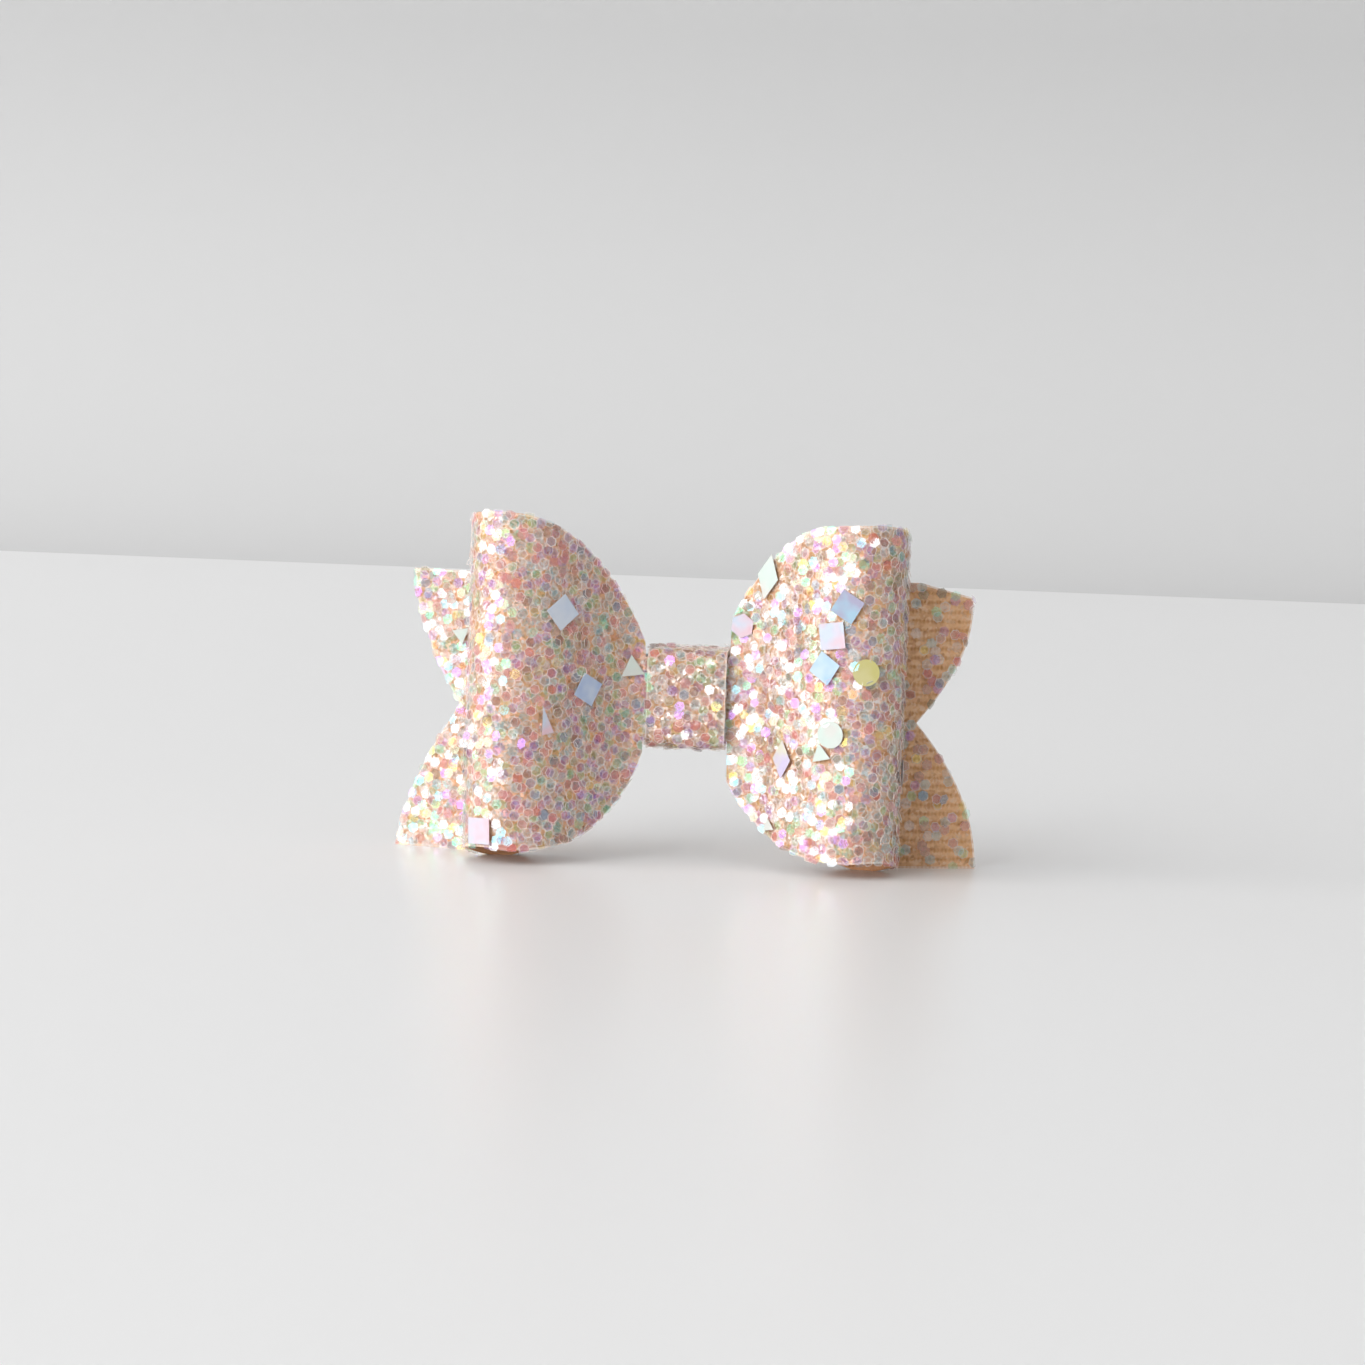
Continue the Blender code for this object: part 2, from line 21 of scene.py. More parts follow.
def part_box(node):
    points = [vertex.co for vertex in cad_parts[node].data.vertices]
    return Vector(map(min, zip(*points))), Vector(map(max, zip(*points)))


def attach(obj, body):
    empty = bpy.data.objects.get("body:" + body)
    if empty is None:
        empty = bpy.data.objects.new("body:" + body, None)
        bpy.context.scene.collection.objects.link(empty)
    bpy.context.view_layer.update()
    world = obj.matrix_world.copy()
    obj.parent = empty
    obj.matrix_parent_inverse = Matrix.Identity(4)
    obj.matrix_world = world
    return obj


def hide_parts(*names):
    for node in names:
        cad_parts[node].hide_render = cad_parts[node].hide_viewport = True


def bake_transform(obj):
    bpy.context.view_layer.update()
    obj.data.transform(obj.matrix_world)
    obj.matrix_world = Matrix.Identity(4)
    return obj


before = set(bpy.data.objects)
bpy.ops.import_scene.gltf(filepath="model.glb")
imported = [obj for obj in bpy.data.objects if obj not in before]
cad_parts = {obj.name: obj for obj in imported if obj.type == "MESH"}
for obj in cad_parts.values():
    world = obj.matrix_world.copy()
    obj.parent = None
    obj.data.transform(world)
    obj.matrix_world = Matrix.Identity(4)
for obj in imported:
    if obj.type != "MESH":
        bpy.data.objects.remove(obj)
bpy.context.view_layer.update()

bl_info = {
    "name": "Glitter Hair Bow",
    "version": (1, 0, 0),
    "blender": (4, 5, 0),
    "location": "3D View > Sidebar > Hair Bow",
    "description": "Dresses the solids of a glitter canvas hair bow and sets its stage",
    "category": "Add Mesh",
}

MM = 0.001
BOW = "bow"  # the body that carries all canvas, glue and glitter

# Shapes of the solids, as the CAD source has them
SHEET = 0.8 * MM
GAP = 0.3 * MM
LAYER = 1.4 * MM
LOOP_HEIGHT = 36.0 * MM
LOOP_REACH = 23.5 * MM
LOOP_CREST = 18.5 * MM
LOOP_PUFF = 7.2 * MM
LOOP_RAKE = 0.25
LOOP_HITCH = 0.45 * MM
LOOP_DIP = 0.1 * MM
LEFT_NECK = 5.7 * MM
RIGHT_NECK = 8.4 * MM
LEFT_TOP_FULLNESS = 1.1
LEFT_LOW_FULLNESS = 0.94
RIGHT_TOP_FULLNESS = 0.74
RIGHT_LOW_FULLNESS = 0.98
BACK_FULLNESS = 2.0
LOOP_SPRING = 5.0 * MM
LOOP_SHOULDER = 6.0 * MM
STRIP_END_GAP = 0.6 * MM
WAIST_HALF = 4.4 * MM
BAND_HALF = 4.25 * MM
BAND_CORNER = 1.3 * MM
BAND_LAP = 5.0 * MM
LEFT_TAIL_TOP = 30.5 * MM
RIGHT_TAIL_TOP = 31.1 * MM
RIGHT_TAIL_DROOP = 1.5 * MM
TAIL_NOTCH = 15.9 * MM
TAIL_TOP_REACH = 30.4 * MM
TAIL_LOW_REACH = 31.75 * MM
TAIL_NOTCH_REACH = 24.8 * MM
TAIL_BULGE = 1.05 * MM
TAIL_FLARE = 20.0 * MM
TAIL_FLAT = 15.0 * MM
TAIL_CURL = 3.1 * MM
STEEL = 0.5 * MM
CLIP_HANDLE = 20.0 * MM
PIN_X = 9.0 * MM
PIN_RISE = 2.9 * MM
JAW_RISE = 2.6 * MM
JAW_CROWN = 3.0 * MM
HANDLE_RISE = 3.4 * MM
WIRE = 0.6 * MM
COIL_RADIUS = 1.6 * MM
COIL_PITCH = 1.1 * MM
COIL_TURNS = 3
LEG = 7.0 * MM

# Layers from the front to the back, measured from the middle of the loops' front waist
BAND_FRONT_Y = -SHEET - GAP
BAND_BACK_Y = 5.0 * MM
BAND_LAP_Y = BAND_BACK_Y + LAYER
STRIP_BACK_Y = LAYER
TAIL_Y = 2 * LAYER
BAND_PATH_HALF = WAIST_HALF + GAP + SHEET / 2
NECK_HALF = BAND_HALF + GAP

# Where the waist is in the frame
BAND_LOW, BAND_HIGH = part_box("centre_band")
WAIST_Y = BAND_LOW.y - (BAND_FRONT_Y - SHEET / 2)
WAIST_Z = (BAND_LOW.z + BAND_HIGH.z) / 2

# How finely the meshes are drawn
KAPPA = 4 / 3 * (math.sqrt(2) - 1)  # handle length of a quarter ellipse
CURVE_STEPS = 60
ARC_STEPS = 8
PANEL_CROWD = 1.5  # mesh columns are crowded towards the waist
TAIL_CROWD = 0.65  # and towards the tails' ends
NEAR = 0.02 * MM  # step over which a surface's slope is measured
SHARP = math.radians(50)  # edges that turn further than this look sharp

# The canvas
CANVAS_FACE = 0.1 * MM  # from the middle of the sheet to the coated face, under the flakes
SHADED_TAIL_FLAKES = 0.35  # painted shade: the right tail lies in shade and keeps fewer flakes
RIGHT_TAIL_BULGE = 1.7 * MM  # and its ends bend out rounder than they were cut
THICK, SHADED_TAIL = "dusted_glitter_canvas", "shaded_tail_glitter_canvas"  # coated faces; the second is a painted shade copy of the first for the right tail, with less dust and warmer colours
WOVEN, CUT = "rep_woven_cotton_back", "cut_canvas_edge"
LEFT_FACE, RIGHT_FACE, BACK_FACE, CUT_EDGE = range(4)  # places of a sheet's materials
PATCH_SIZE = 10 / 9 * MM  # width of the uneven patches
PATCH_SHARE = 0.5  # how far the patches lighten the canvas
THREAD_SHARE = 0.35  # height of the cross threads beside that of the ribs
COAT_LEVEL = 0.7  # height that a coat fills the weave to
SHADED_GROOVE_LEVEL = 0.25  # height that takes the full painted shade of a groove
WEAVE_BUMP = 0.05 * MM
THIN_PATCH, THICK_PATCH = 0.35, 0.65  # levels of the patches with the least and the most dust
LEAST_DUST, MOST_DUST = 0.2, 1.7  # the dust on them, beside its mean
ROSY_DUST = 0.45  # share of the grains that are rosy

# Clear film flakes: name, share of the flakes, colour that they mirror
CLEAR_FLAKES = (
    ("clear_film_white", 0.26, "EEF6FF"),
    ("clear_film_mint", 0.14, "90FFD0"),
    ("clear_film_lilac", 0.19, "CC98FF"),
    ("clear_film_yellow", 0.06, "FFF48C"),
    ("clear_film_cyan", 0.14, "98EAFF"),
    ("clear_film_peach", 0.03, "FFB070"),
)
# Tinted film flakes: name, share of the flakes, colour seen in them, colour that they mirror
TINTED_FLAKES = (
    ("tinted_film_rose", 0.11, "E88092", "A8FFD0"),
    ("tinted_film_wine", 0.035, "B05872", "B0FFB8"),
    ("tinted_film_slate", 0.02, "9694AA", "C8F4FF"),
    ("tinted_film_orange", 0.02, "EE744C", "9FD8FF"),
)
# Pearly film of the large shapes: name and the two colours that it turns between, partly its own tint and
# partly painted reflection
PEARLS = (
    ("pearl_film_white", "CFD0CA", "C8D6CE"),
    ("pearl_film_ice", "D0D8E4", "C0CEE2"),
    ("pearl_film_blue", "A6BADC", "C0CEE2"),
    ("pearl_film_lilac", "A4A2BC", "A0C0D4"),
    ("pearl_film_pink", "DCBCC6", "C4CEDE"),
    ("pearl_film_sky", "A2C2E0", "BACEE4"),
    ("pearl_film_yellow", "CCC47C", "D4CC92"),
    ("pearl_film_opal", "C8BEDA", "D4D0BC"),
)
FLAKES = CLEAR_FLAKES + TINTED_FLAKES
FILM_LOOKS = [film[0] for film in FLAKES + PEARLS] + ["cut_film_edge"]
WHITE, ICE, BLUE, LILAC, PINK, SKY, YELLOW, OPAL = range(len(FLAKES), len(FLAKES + PEARLS))
RIM = len(FILM_LOOKS) - 1
CLEAR_COVER = 0.105  # how much of the light a clear flake stops
TINTED_COVER = 0.34
RIM_COVER = 0.55
PEARL_TURN = (0.4, 0.6)  # levels between which a pearl's colour turns

# How the flakes pile up on the canvas
BED_LIFT = 0.06 * MM
TOP_LIFT = 0.12 * MM
PILE_LIFT = 0.06 * MM  # for each flake that lies right under one
PILE_LEAN = 0.12
LEAN_LIFT = 0.3  # share of a flake's rise that lifts it off the bed
LOOSE_LEAN = 3  # loose flakes lie this much steeper
SHAPE_LIFT = 0.36 * MM  # large shapes lie on top
SHAPE_CLEAR = 0.95  # share of a shape's radius that the flakes leave free
SHADED_TAIL_CLEAR = 0.35  # share of the clear flakes that the shaded right tail keeps, as painted shade
LEAST_KEPT = 0.3  # share of a flake that must lie inside the edges
LEAST_INSET = 0.3  # share of a flake's reach that its rim leaves
THROWS = 30  # tries to lay a flake, for each square of one spacing

# Large cut shapes that the front shows: corners, radius, stretch, place along and up the strip, turn, film
LOOP_SHAPES = (
    (4, 1.98, 1.0, -15.1, 8.0, 2, ICE),
    (4, 1.9, 1.0, -11.6, 0.2, 25, BLUE),
    (3, 1.5, 1.0, -6.0, 3.1, -20, WHITE),
    (3, 2.0, 0.4, -16.6, -4.2, 109, PINK),
    (4, 1.98, 1.0, -23.3, -16.2, 45, PINK),
    (4, 1.5, 1.0, -27.2, -7.0, 30, OPAL),
    (4, 2.5, 0.55, 9.0, 13.3, 72, WHITE),
    (6, 1.35, 1.0, 5.9, 8.2, 20, PINK),
    (4, 1.9, 1.0, 19.3, 9.5, 12, LILAC),
    (4, 1.98, 1.0, 17.8, 6.4, 48, PINK),
    (4, 1.85, 1.0, 17.1, 3.0, 6, SKY),
    (24, 1.43, 1.0, 21.4, 2.5, 0, YELLOW),
    (24, 1.45, 1.0, 18.0, -4.1, 0, WHITE),
    (3, 1.25, 1.0, 17.0, -6.2, 97, WHITE),
    (4, 2.1, 0.6, 11.9, -6.5, 80, OPAL),
    (3, 0.9, 1.0, 10.3, -13.6, -30, WHITE),
)
TAIL_SHAPES = ((3, 1.1, 1.0, -24.9, 23.6, 40, WHITE),)
SHAPE_KINDS = ((4, 1.9, 1.0), (24, 1.43, 1.0), (3, 1.4, 1.0), (4, 2.1, 0.6))
SIDE_REACH = 14  # millimetres up and down the loops' sides that the shapes lie in

# The clip and the glue
COIL_POINTS = 32  # to a turn
KNEE_STEPS = 6
KNEE = 0.7 * MM  # length of wire to each side of the bend
WIRE_ROUNDS = 4  # Blender's bevel resolution for the wire
WORN_EDGE = 0.08 * MM  # rounding that the barrel leaves on the steel's edges
GLUE_BUMP = 0.05 * MM

# The photograph's view of the bow
VIEW_TARGET = Vector((0, 0, 18 * MM))
VIEW_DISTANCE = 450 * MM
VIEW_YAW = math.radians(3.354)
VIEW_RISE = math.radians(5.808)
VIEW_ROLL = math.radians(2.007)
VIEW_PIXELS = 1365
VIEW_SCALE = 9.225 / MM  # pixels to a metre at the target
VIEW_CENTRE = Vector((688.04, 695.36))  # pixel of the target, from the top left
VIEW_NEAREST, VIEW_FURTHEST = 0.01, 20.0

# The window, as the glints on the flakes show it, and a panel above that fills the shade
LAMP_DISTANCE = 2.0
WINDOW_SIZE = (2.4, 1.3)
WINDOW_TURN = math.radians(54)
WINDOW_RISE = math.radians(21)
FILL_SIZE = (1.6, 1.6)
FILL_TURN = math.radians(-35)
FILL_RISE = math.radians(55)
ROOM_TURN = 0.8  # share of the way to each side over which the room's light turns to shade
FLOOR_REACH = 1.5
WALL_FOOT = 0.42
COVE = 0.12  # radius where the table meets the wall


def colour(code):
    """An sRGB hex value as linear red, green and blue."""
    shares = [int(code[i : i + 2], 16) / 255 for i in (0, 2, 4)]
    return tuple(c / 12.92 if c <= 0.04045 else ((c + 0.055) / 1.055) ** 2.4 for c in shares)


def smooth_step(value):
    """Ease from 0 to 1."""
    value = min(max(value, 0.0), 1.0)
    return value * value * (3 - 2 * value)


def inner_area(rim):
    """Area inside a rim of points that runs anticlockwise."""
    return sum(p[0] * q[1] - p[1] * q[0] for p, q in zip(rim, rim[1:] + rim[:1])) / 2


class Path:
    """A line of points that gives the point at any distance along it."""

    def __init__(self, points):
        self.points = [Vector(p) for p in points]
        self.marks = [0.0]
        for a, b in zip(self.points, self.points[1:]):
            self.marks.append(self.marks[-1] + (b - a).length)
        self.length = self.marks[-1]

    def at(self, distance):
        i = min(max(bisect.bisect_right(self.marks, distance), 1), len(self.marks) - 1)
        share = (distance - self.marks[i - 1]) / (self.marks[i] - self.marks[i - 1])
        return self.points[i - 1].lerp(self.points[i], share)


def rounded_path(corners, radius):
    """A path through corners, with an arc of one radius at each inner corner."""
    corners = [Vector(c) for c in corners]
    points = [corners[0]]
    for before, corner, after in zip(corners, corners[1:], corners[2:]):
        into = (corner - before).normalized()
        out = (after - corner).normalized()
        turn = into.angle(out)
        run = radius * math.tan(turn / 2)
        handle = radius * 4 / 3 * math.tan(turn / 4)
        start = corner - into * run
        end = corner + out * run
        points += interpolate_bezier(start, start + into * handle, end - out * handle, end, ARC_STEPS)
    return Path(points + [corners[-1]])


class Strip:
    """A strip of canvas: place() takes metres along and across it to its middle surface.

    grid() takes shares of the mesh, from -1 to 1, to metres along and across.
    """

    shingled = True  # each flake lies on the next one down the strip

    def frame_at(self, s, t):
        """The point, the directions along and across the strip, and the outward normal."""
        along = self.place(s + NEAR, t) - self.place(s - NEAR, t)
        across = self.place(s, t + NEAR) - self.place(s, t - NEAR)
        along.normalize()
        normal = along.cross(across).normalized()
        return self.place(s, t), along, normal.cross(along), normal

    def coat(self, s):
        """Share of the flakes that lie at a distance along the strip."""
        return 1.0

    def area(self):
        """Flat area inside the cut edges."""
        us = [2 * i / self.columns - 1 for i in range(self.columns + 1)]
        vs = [2 * j / self.rows - 1 for j in range(self.rows + 1)]
        rim = [self.grid(u, -1) for u in us] + [self.grid(1, v) for v in vs]
        rim += [self.grid(u, 1) for u in reversed(us)] + [self.grid(-1, v) for v in reversed(vs)]
        return inner_area(rim)


class LoopStrip(Strip):
    """The strip that is folded into both loops, its ends meeting behind the waist."""

    columns, rows = 176, 172
    steps = (0, 4, 36, 70, 84, 88)  # mesh columns at the ends of the stretches, from the front middle
    front_panel, back_panel = 2, 4

    def __init__(self):
        neck = Vector((NECK_HALF, 0, 0))
        crest = Vector((LOOP_CREST, -LOOP_PUFF, 0))
        back = Vector((LOOP_CREST, STRIP_BACK_Y, 0))
        fold = Vector((LOOP_REACH - SHEET / 2, (crest.y + back.y) / 2, 0))
        end = Vector((STRIP_END_GAP / 2, STRIP_BACK_Y, 0))
        across = Vector(((fold.x - crest.x) * KAPPA, 0, 0))
        along = Vector((0, (fold.y - crest.y) * KAPPA, 0))
        spring = Vector((LOOP_SPRING, 0, 0))
        shoulder = Vector((LOOP_SHOULDER, 0, 0))
        panel = interpolate_bezier(neck, neck + spring, crest - shoulder, crest, CURVE_STEPS)
        front_roll = interpolate_bezier(crest, crest + across, fold - along, fold, CURVE_STEPS)
        back_roll = interpolate_bezier(fold, fold + along, back + across, back, CURVE_STEPS)
        points = [Vector((0, 0, 0))] + panel + front_roll[1:] + back_roll[1:]
        self.path = Path(points + [end])
        crest_mark = Path(points[: CURVE_STEPS + 1]).length
        back_mark = Path(points).length
        back_neck = self.path.length - (NECK_HALF - end.x)
        self.marks = [0.0, NECK_HALF, crest_mark, back_mark, back_neck, self.path.length]
        self.span = (-self.path.length, self.path.length, -LOOP_HEIGHT / 2, LOOP_HEIGHT / 2)

    def drawn_in(self, share, neck, fullness):
        """Height of a D-shaped panel's edge, from the fold (0) to the waist (1)."""
        half = LOOP_HEIGHT / 2
        return half * math.sqrt(1 - (1 - (neck / half) ** 2) * share ** (2 / fullness))

    def edge(self, s, upper):
        """Height of a cut edge from the strip's middle, at a distance along it."""
        distance = abs(s)
        _, neck, crest, back, back_neck, _ = self.marks
        if neck < distance < crest:
            start, top, low = LEFT_NECK, LEFT_TOP_FULLNESS, LEFT_LOW_FULLNESS
            if s > 0:
                start, top, low = RIGHT_NECK, RIGHT_TOP_FULLNESS, RIGHT_LOW_FULLNESS
            return self.drawn_in((crest - distance) / (crest - neck), start, top if upper else low)
        if crest <= distance <= back:
            return LOOP_HEIGHT / 2 - LOOP_DIP * math.sin(math.pi * (distance - crest) / (back - crest))
        if back < distance < back_neck:
            return self.drawn_in((distance - back) / (back_neck - back), WAIST_HALF, BACK_FULLNESS)
        return WAIST_HALF

    def middle(self, s):
        """Height of the strip's middle at a distance along it."""
        distance = abs(s)
        _, _, crest, back, back_neck, _ = self.marks
        raked = min(1.0, max(0.0, (back_neck - distance) / (back_neck - back)))
        fold = min(1.0, max(0.0, (distance - crest) / (back - crest)))
        spot = self.path.at(distance)
        return WAIST_Z - LOOP_RAKE * spot.y * raked + LOOP_HITCH * math.sin(math.pi * fold)

    def place(self, s, t):
        spot = self.path.at(abs(s))
        return Vector((math.copysign(spot.x, s), WAIST_Y + spot.y, self.middle(s) + t))

    def grid(self, u, v):
        step = abs(u) * self.steps[-1]
        i = min(bisect.bisect_right(self.steps, step), len(self.marks) - 1)
        share = (step - self.steps[i - 1]) / (self.steps[i] - self.steps[i - 1])
        if i == self.front_panel:
            share = share**PANEL_CROWD
        if i == self.back_panel:
            share = 1 - (1 - share) ** PANEL_CROWD
        s = math.copysign(self.marks[i - 1] + (self.marks[i] - self.marks[i - 1]) * share, u)
        return s, max(v * self.edge(s, v > 0), -self.middle(s))

    def trim(self, s, t, over=0.0):
        """The nearest place on the strip, or as far over its cut edges."""
        neck = self.marks[1] + NEAR
        if abs(s) < neck and abs(t) > WAIST_HALF:
            s = math.copysign(neck, s)
        low = min(self.edge(s, False) + over, self.middle(s))
        return s, min(max(t, -low), self.edge(s, True) + over)

    def bare(self, s, t):
        """True where the band covers the strip."""
        return abs(s) < NECK_HALF - LAYER or self.path.length - abs(s) < BAND_HALF


class TailStrip(Strip):
    """The strip behind the loops, with a fishtail at each end. Across it is measured from the table."""

    columns, rows = 112, 146

    def __init__(self):
        self.span = (-TAIL_LOW_REACH, TAIL_LOW_REACH, 0, RIGHT_TAIL_TOP)

    def flared(self, reach, height, waist_edge):
        """Height of a line that rises from the waist to its full height."""
        flare = smooth_step((reach - BAND_HALF) / (TAIL_FLARE - BAND_HALF))
        return waist_edge + (height - waist_edge) * flare

    def end(self, s, v):
        """Reach of the cut end, from the notch (0) to a tip (1 or -1)."""
        tip = TAIL_TOP_REACH if v > 0 else TAIL_LOW_REACH
        bulge = RIGHT_TAIL_BULGE if s > 0 else TAIL_BULGE
        share = abs(v)
        return TAIL_NOTCH_REACH + (tip - TAIL_NOTCH_REACH) * share + 4 * bulge * share * (1 - share)

    def edges(self, s):
        """Heights of the lower edge, the notch's line and the upper edge."""
        reach = abs(s)
        top = LEFT_TAIL_TOP
        if s > 0:
            droop = max(reach - TAIL_NOTCH_REACH, 0.0) / (TAIL_TOP_REACH - TAIL_NOTCH_REACH)
            top = RIGHT_TAIL_TOP - RIGHT_TAIL_DROOP * droop
        low = self.flared(reach, 0.0, WAIST_Z - WAIST_HALF)
        middle = self.flared(reach, TAIL_NOTCH, WAIST_Z)
        return low, middle, self.flared(reach, top, WAIST_Z + WAIST_HALF)

    def place(self, s, t):
        curl = max(abs(s) - TAIL_FLAT, 0.0) / (TAIL_LOW_REACH - TAIL_FLAT)
        return Vector((s, WAIST_Y + TAIL_Y + TAIL_CURL * curl**2, t))

    def grid(self, u, v):
        crowded = u - TAIL_CROWD * math.sin(2 * math.pi * u) / (2 * math.pi)
        s = crowded * self.end(u, v)
        low, middle, high = self.edges(s)
        return s, middle + abs(v) * ((high if v > 0 else low) - middle)

    def trim(self, s, t, over=0.0):
        low, middle, high = self.edges(s)
        inside = min(max(t, low), high)
        v = (inside - middle) / (high - middle if inside > middle else middle - low)
        end = self.end(s, v) + over
        return min(max(s, -end), end), min(max(t, low - over), high + over)

    def bare(self, s, t):
        return abs(s) < BAND_HALF

    def coat(self, s):
        # Painted shade: the right tail, which lies in shade, keeps fewer flakes
        return SHADED_TAIL_FLAKES if s > 0 else 1.0


class BandStrip(Strip):
    """The narrow strip that wraps the waist, its ends lapped at the back."""

    columns, rows = 150, 64
    shingled = False

    def __init__(self):
        lap = BAND_LAP / 2
        corners = [
            (0, BAND_BACK_Y, lap),
            (0, BAND_BACK_Y, -BAND_PATH_HALF),
            (0, BAND_FRONT_Y, -BAND_PATH_HALF),
            (0, BAND_FRONT_Y, BAND_PATH_HALF),
            (0, BAND_LAP_Y, BAND_PATH_HALF),
            (0, BAND_LAP_Y, -lap),
        ]
        self.path = rounded_path(corners, BAND_CORNER)
        self.span = (0, self.path.length, -BAND_HALF, BAND_HALF)

    def place(self, s, t):
        spot = self.path.at(s)
        return Vector((-t, WAIST_Y + spot.y, WAIST_Z + spot.z))

    def grid(self, u, v):
        return (u + 1) / 2 * self.path.length, v * BAND_HALF

    def trim(self, s, t, over=0.0):
        half = BAND_HALF + over
        return min(max(s, 0.0), self.path.length), min(max(t, -half), half)

    def bare(self, s, t):
        return s < BAND_LAP


def add_object(name, data):
    """Put a new object with this data into the scene."""
    made = bpy.data.objects.new(name, data)
    bpy.context.scene.collection.objects.link(made)
    return made


def feed(tree, node, inputs):
    """Give a node's sockets their values, or the outputs that they are linked to."""
    for socket, value in inputs.items():
        if isinstance(value, bpy.types.NodeSocket):
            tree.links.new(value, node.inputs[socket])
        else:
            node.inputs[socket].default_value = value


def add_node(tree, kind, inputs=(), stops=(), **settings):
    """Add a shader node, with its settings, its inputs and its colour stops."""
    made = tree.nodes.new(kind)
    for name, value in settings.items():
        setattr(made, name, value)
    feed(tree, made, dict(inputs))
    for k, (position, tint) in enumerate(stops):
        made.color_ramp.elements[k].position = position
        made.color_ramp.elements[k].color = (*tint, 1.0)
    return made


def new_material(name, **sockets):
    """A material with a Principled shader, and that shader's values."""
    made = bpy.data.materials.new(name)
    made.use_nodes = True
    shader = made.node_tree.nodes["Principled BSDF"]
    for socket, value in sockets.items():
        target = shader.inputs[socket.replace("_", " ")]
        target.default_value = (*value, 1.0) if target.type == "RGBA" else value
    return made, made.node_tree, shader


def wave_scale(spacing):
    """Scale of a Wave texture, on the weave's millimetres, whose bands lie at this spacing."""
    return 2 * math.pi / 20 / (spacing / MM)


def canvas_material(name, light, groove_shade, settings, relief=1.0, dust=0.0):
    """Rep-woven cotton canvas: rounded ribs along the strip, crossed by finer threads.

    The colour is painted light on the ribs' crowns and a darker, warmer painted shade in the grooves.
    """
    _, tree, shader = new_material(name, Roughness=0.75, Specular_IOR_Level=0.3)
    place = add_node(tree, "ShaderNodeUVMap", uv_map="weave").outputs["UV"]
    uneven = {"Vector": place, "Scale": MM / PATCH_SIZE, "Detail": 4.0}
    patches = add_node(tree, "ShaderNodeTexNoise", uneven).outputs["Fac"]
    waves = {"Vector": place, "Scale": wave_scale(settings.rib_spacing)}
    waves |= {"Distortion": 0.6, "Detail Scale": 2.0}
    ribs = add_node(tree, "ShaderNodeTexWave", waves, bands_direction="Y").outputs["Fac"]
    waves |= {"Scale": wave_scale(settings.thread_spacing), "Distortion": 1.5, "Detail Scale": 3.0}
    threads = add_node(tree, "ShaderNodeTexWave", waves, bands_direction="X").outputs["Fac"]
    heights = {0: threads, 1: THREAD_SHARE, 2: ribs}
    weave = add_node(tree, "ShaderNodeMath", heights, operation="MULTIPLY_ADD").outputs[0]
    filled = {"Factor": relief, "A": COAT_LEVEL, "B": weave}
    seen = add_node(tree, "ShaderNodeMix", filled, data_type="FLOAT").outputs["Result"]
    shades = {0: patches, 1: PATCH_SHARE, 2: seen}
    shade = add_node(tree, "ShaderNodeMath", shades, operation="MULTIPLY_ADD").outputs[0]
    # Painted shade: the weave's low places take the darker groove colour, its crowns the light one
    ramp = add_node(tree, "ShaderNodeValToRGB", {"Fac": shade}, ((SHADED_GROOVE_LEVEL, groove_shade), (1.0, light)))
    dents = {"Height": weave, "Strength": 0.5 * relief, "Distance": WEAVE_BUMP}
    bump = add_node(tree, "ShaderNodeBump", dents)
    feed(tree, shader, {"Base Color": ramp.outputs["Color"], "Normal": bump.outputs["Normal"]})
    if dust:
        strew_dust(tree, shader, bump, place, patches, settings, dust)


def strew_dust(tree, shader, bump, place, patches, settings, dust):
    """The binder's fine glitter dust, in patches: pale and rosy mirrors that each lean their own way."""
    cells = {"Vector": place, "Scale": MM / settings.dust_size, "Randomness": 1.0}
    grains = add_node(tree, "ShaderNodeTexVoronoi", cells).outputs["Color"]
    specks = add_node(tree, "ShaderNodeSeparateColor", {"Color": grains}).outputs
    stops = ((0.0, settings.dust_rose), (ROSY_DUST, settings.dust_pale))
    pick = add_node(tree, "ShaderNodeValToRGB", {"Fac": specks["Red"]}, stops)
    pick.color_ramp.interpolation = "CONSTANT"
    levels = {"Value": patches, "From Min": THIN_PATCH, "From Max": THICK_PATCH}
    levels |= {"To Min": LEAST_DUST * dust, "To Max": MOST_DUST * dust}
    depth = add_node(tree, "ShaderNodeMapRange", levels).outputs["Result"]
    covers = {0: specks["Green"], 1: depth}
    cover = add_node(tree, "ShaderNodeMath", covers, operation="MULTIPLY").outputs[0]
    canvas = shader.inputs["Base Color"].links[0].from_socket
    layers = {"Factor": cover, "A": canvas, "B": pick.outputs["Color"]}
    tint = add_node(tree, "ShaderNodeMix", layers, data_type="RGBA")
    shine = add_node(tree, "ShaderNodeMath", {0: cover, 1: settings.dust_shine}, operation="MULTIPLY")
    upright = (0.5, 0.5, 1.0, 1.0)  # a normal map's colour for straight up
    slopes = {"Factor": settings.dust_lean, "A": upright, "B": grains}
    lean = add_node(tree, "ShaderNodeMix", slopes, data_type="RGBA")
    facet = add_node(tree, "ShaderNodeNormalMap", {"Color": lean.outputs["Result"]}, uv_map="weave")
    feed(tree, bump, {"Normal": facet.outputs["Normal"]})
    feed(tree, shader, {"Base Color": tint.outputs["Result"], "Metallic": shine.outputs[0]})
    feed(tree, shader, {"Roughness": 0.4})


def canvas_looks(settings):
    """The canvas: its coated faces, its woven back and its cut edge."""
    coat = settings.coat_relief
    canvas_material(THICK, settings.face_light, settings.face_groove_shade, settings, coat, settings.face_dust)
    # Painted shade: the right tail's copy of the coat, with less dust and its weave showing, as the glitter
    # looks in shade
    canvas_material(SHADED_TAIL, settings.shaded_tail_light, settings.shaded_tail_groove_shade, settings, 1.0, settings.shaded_tail_dust)
    canvas_material(WOVEN, settings.back_light, settings.back_groove_shade, settings)
    canvas_material(CUT, settings.edge_light, settings.edge_groove_shade, settings)


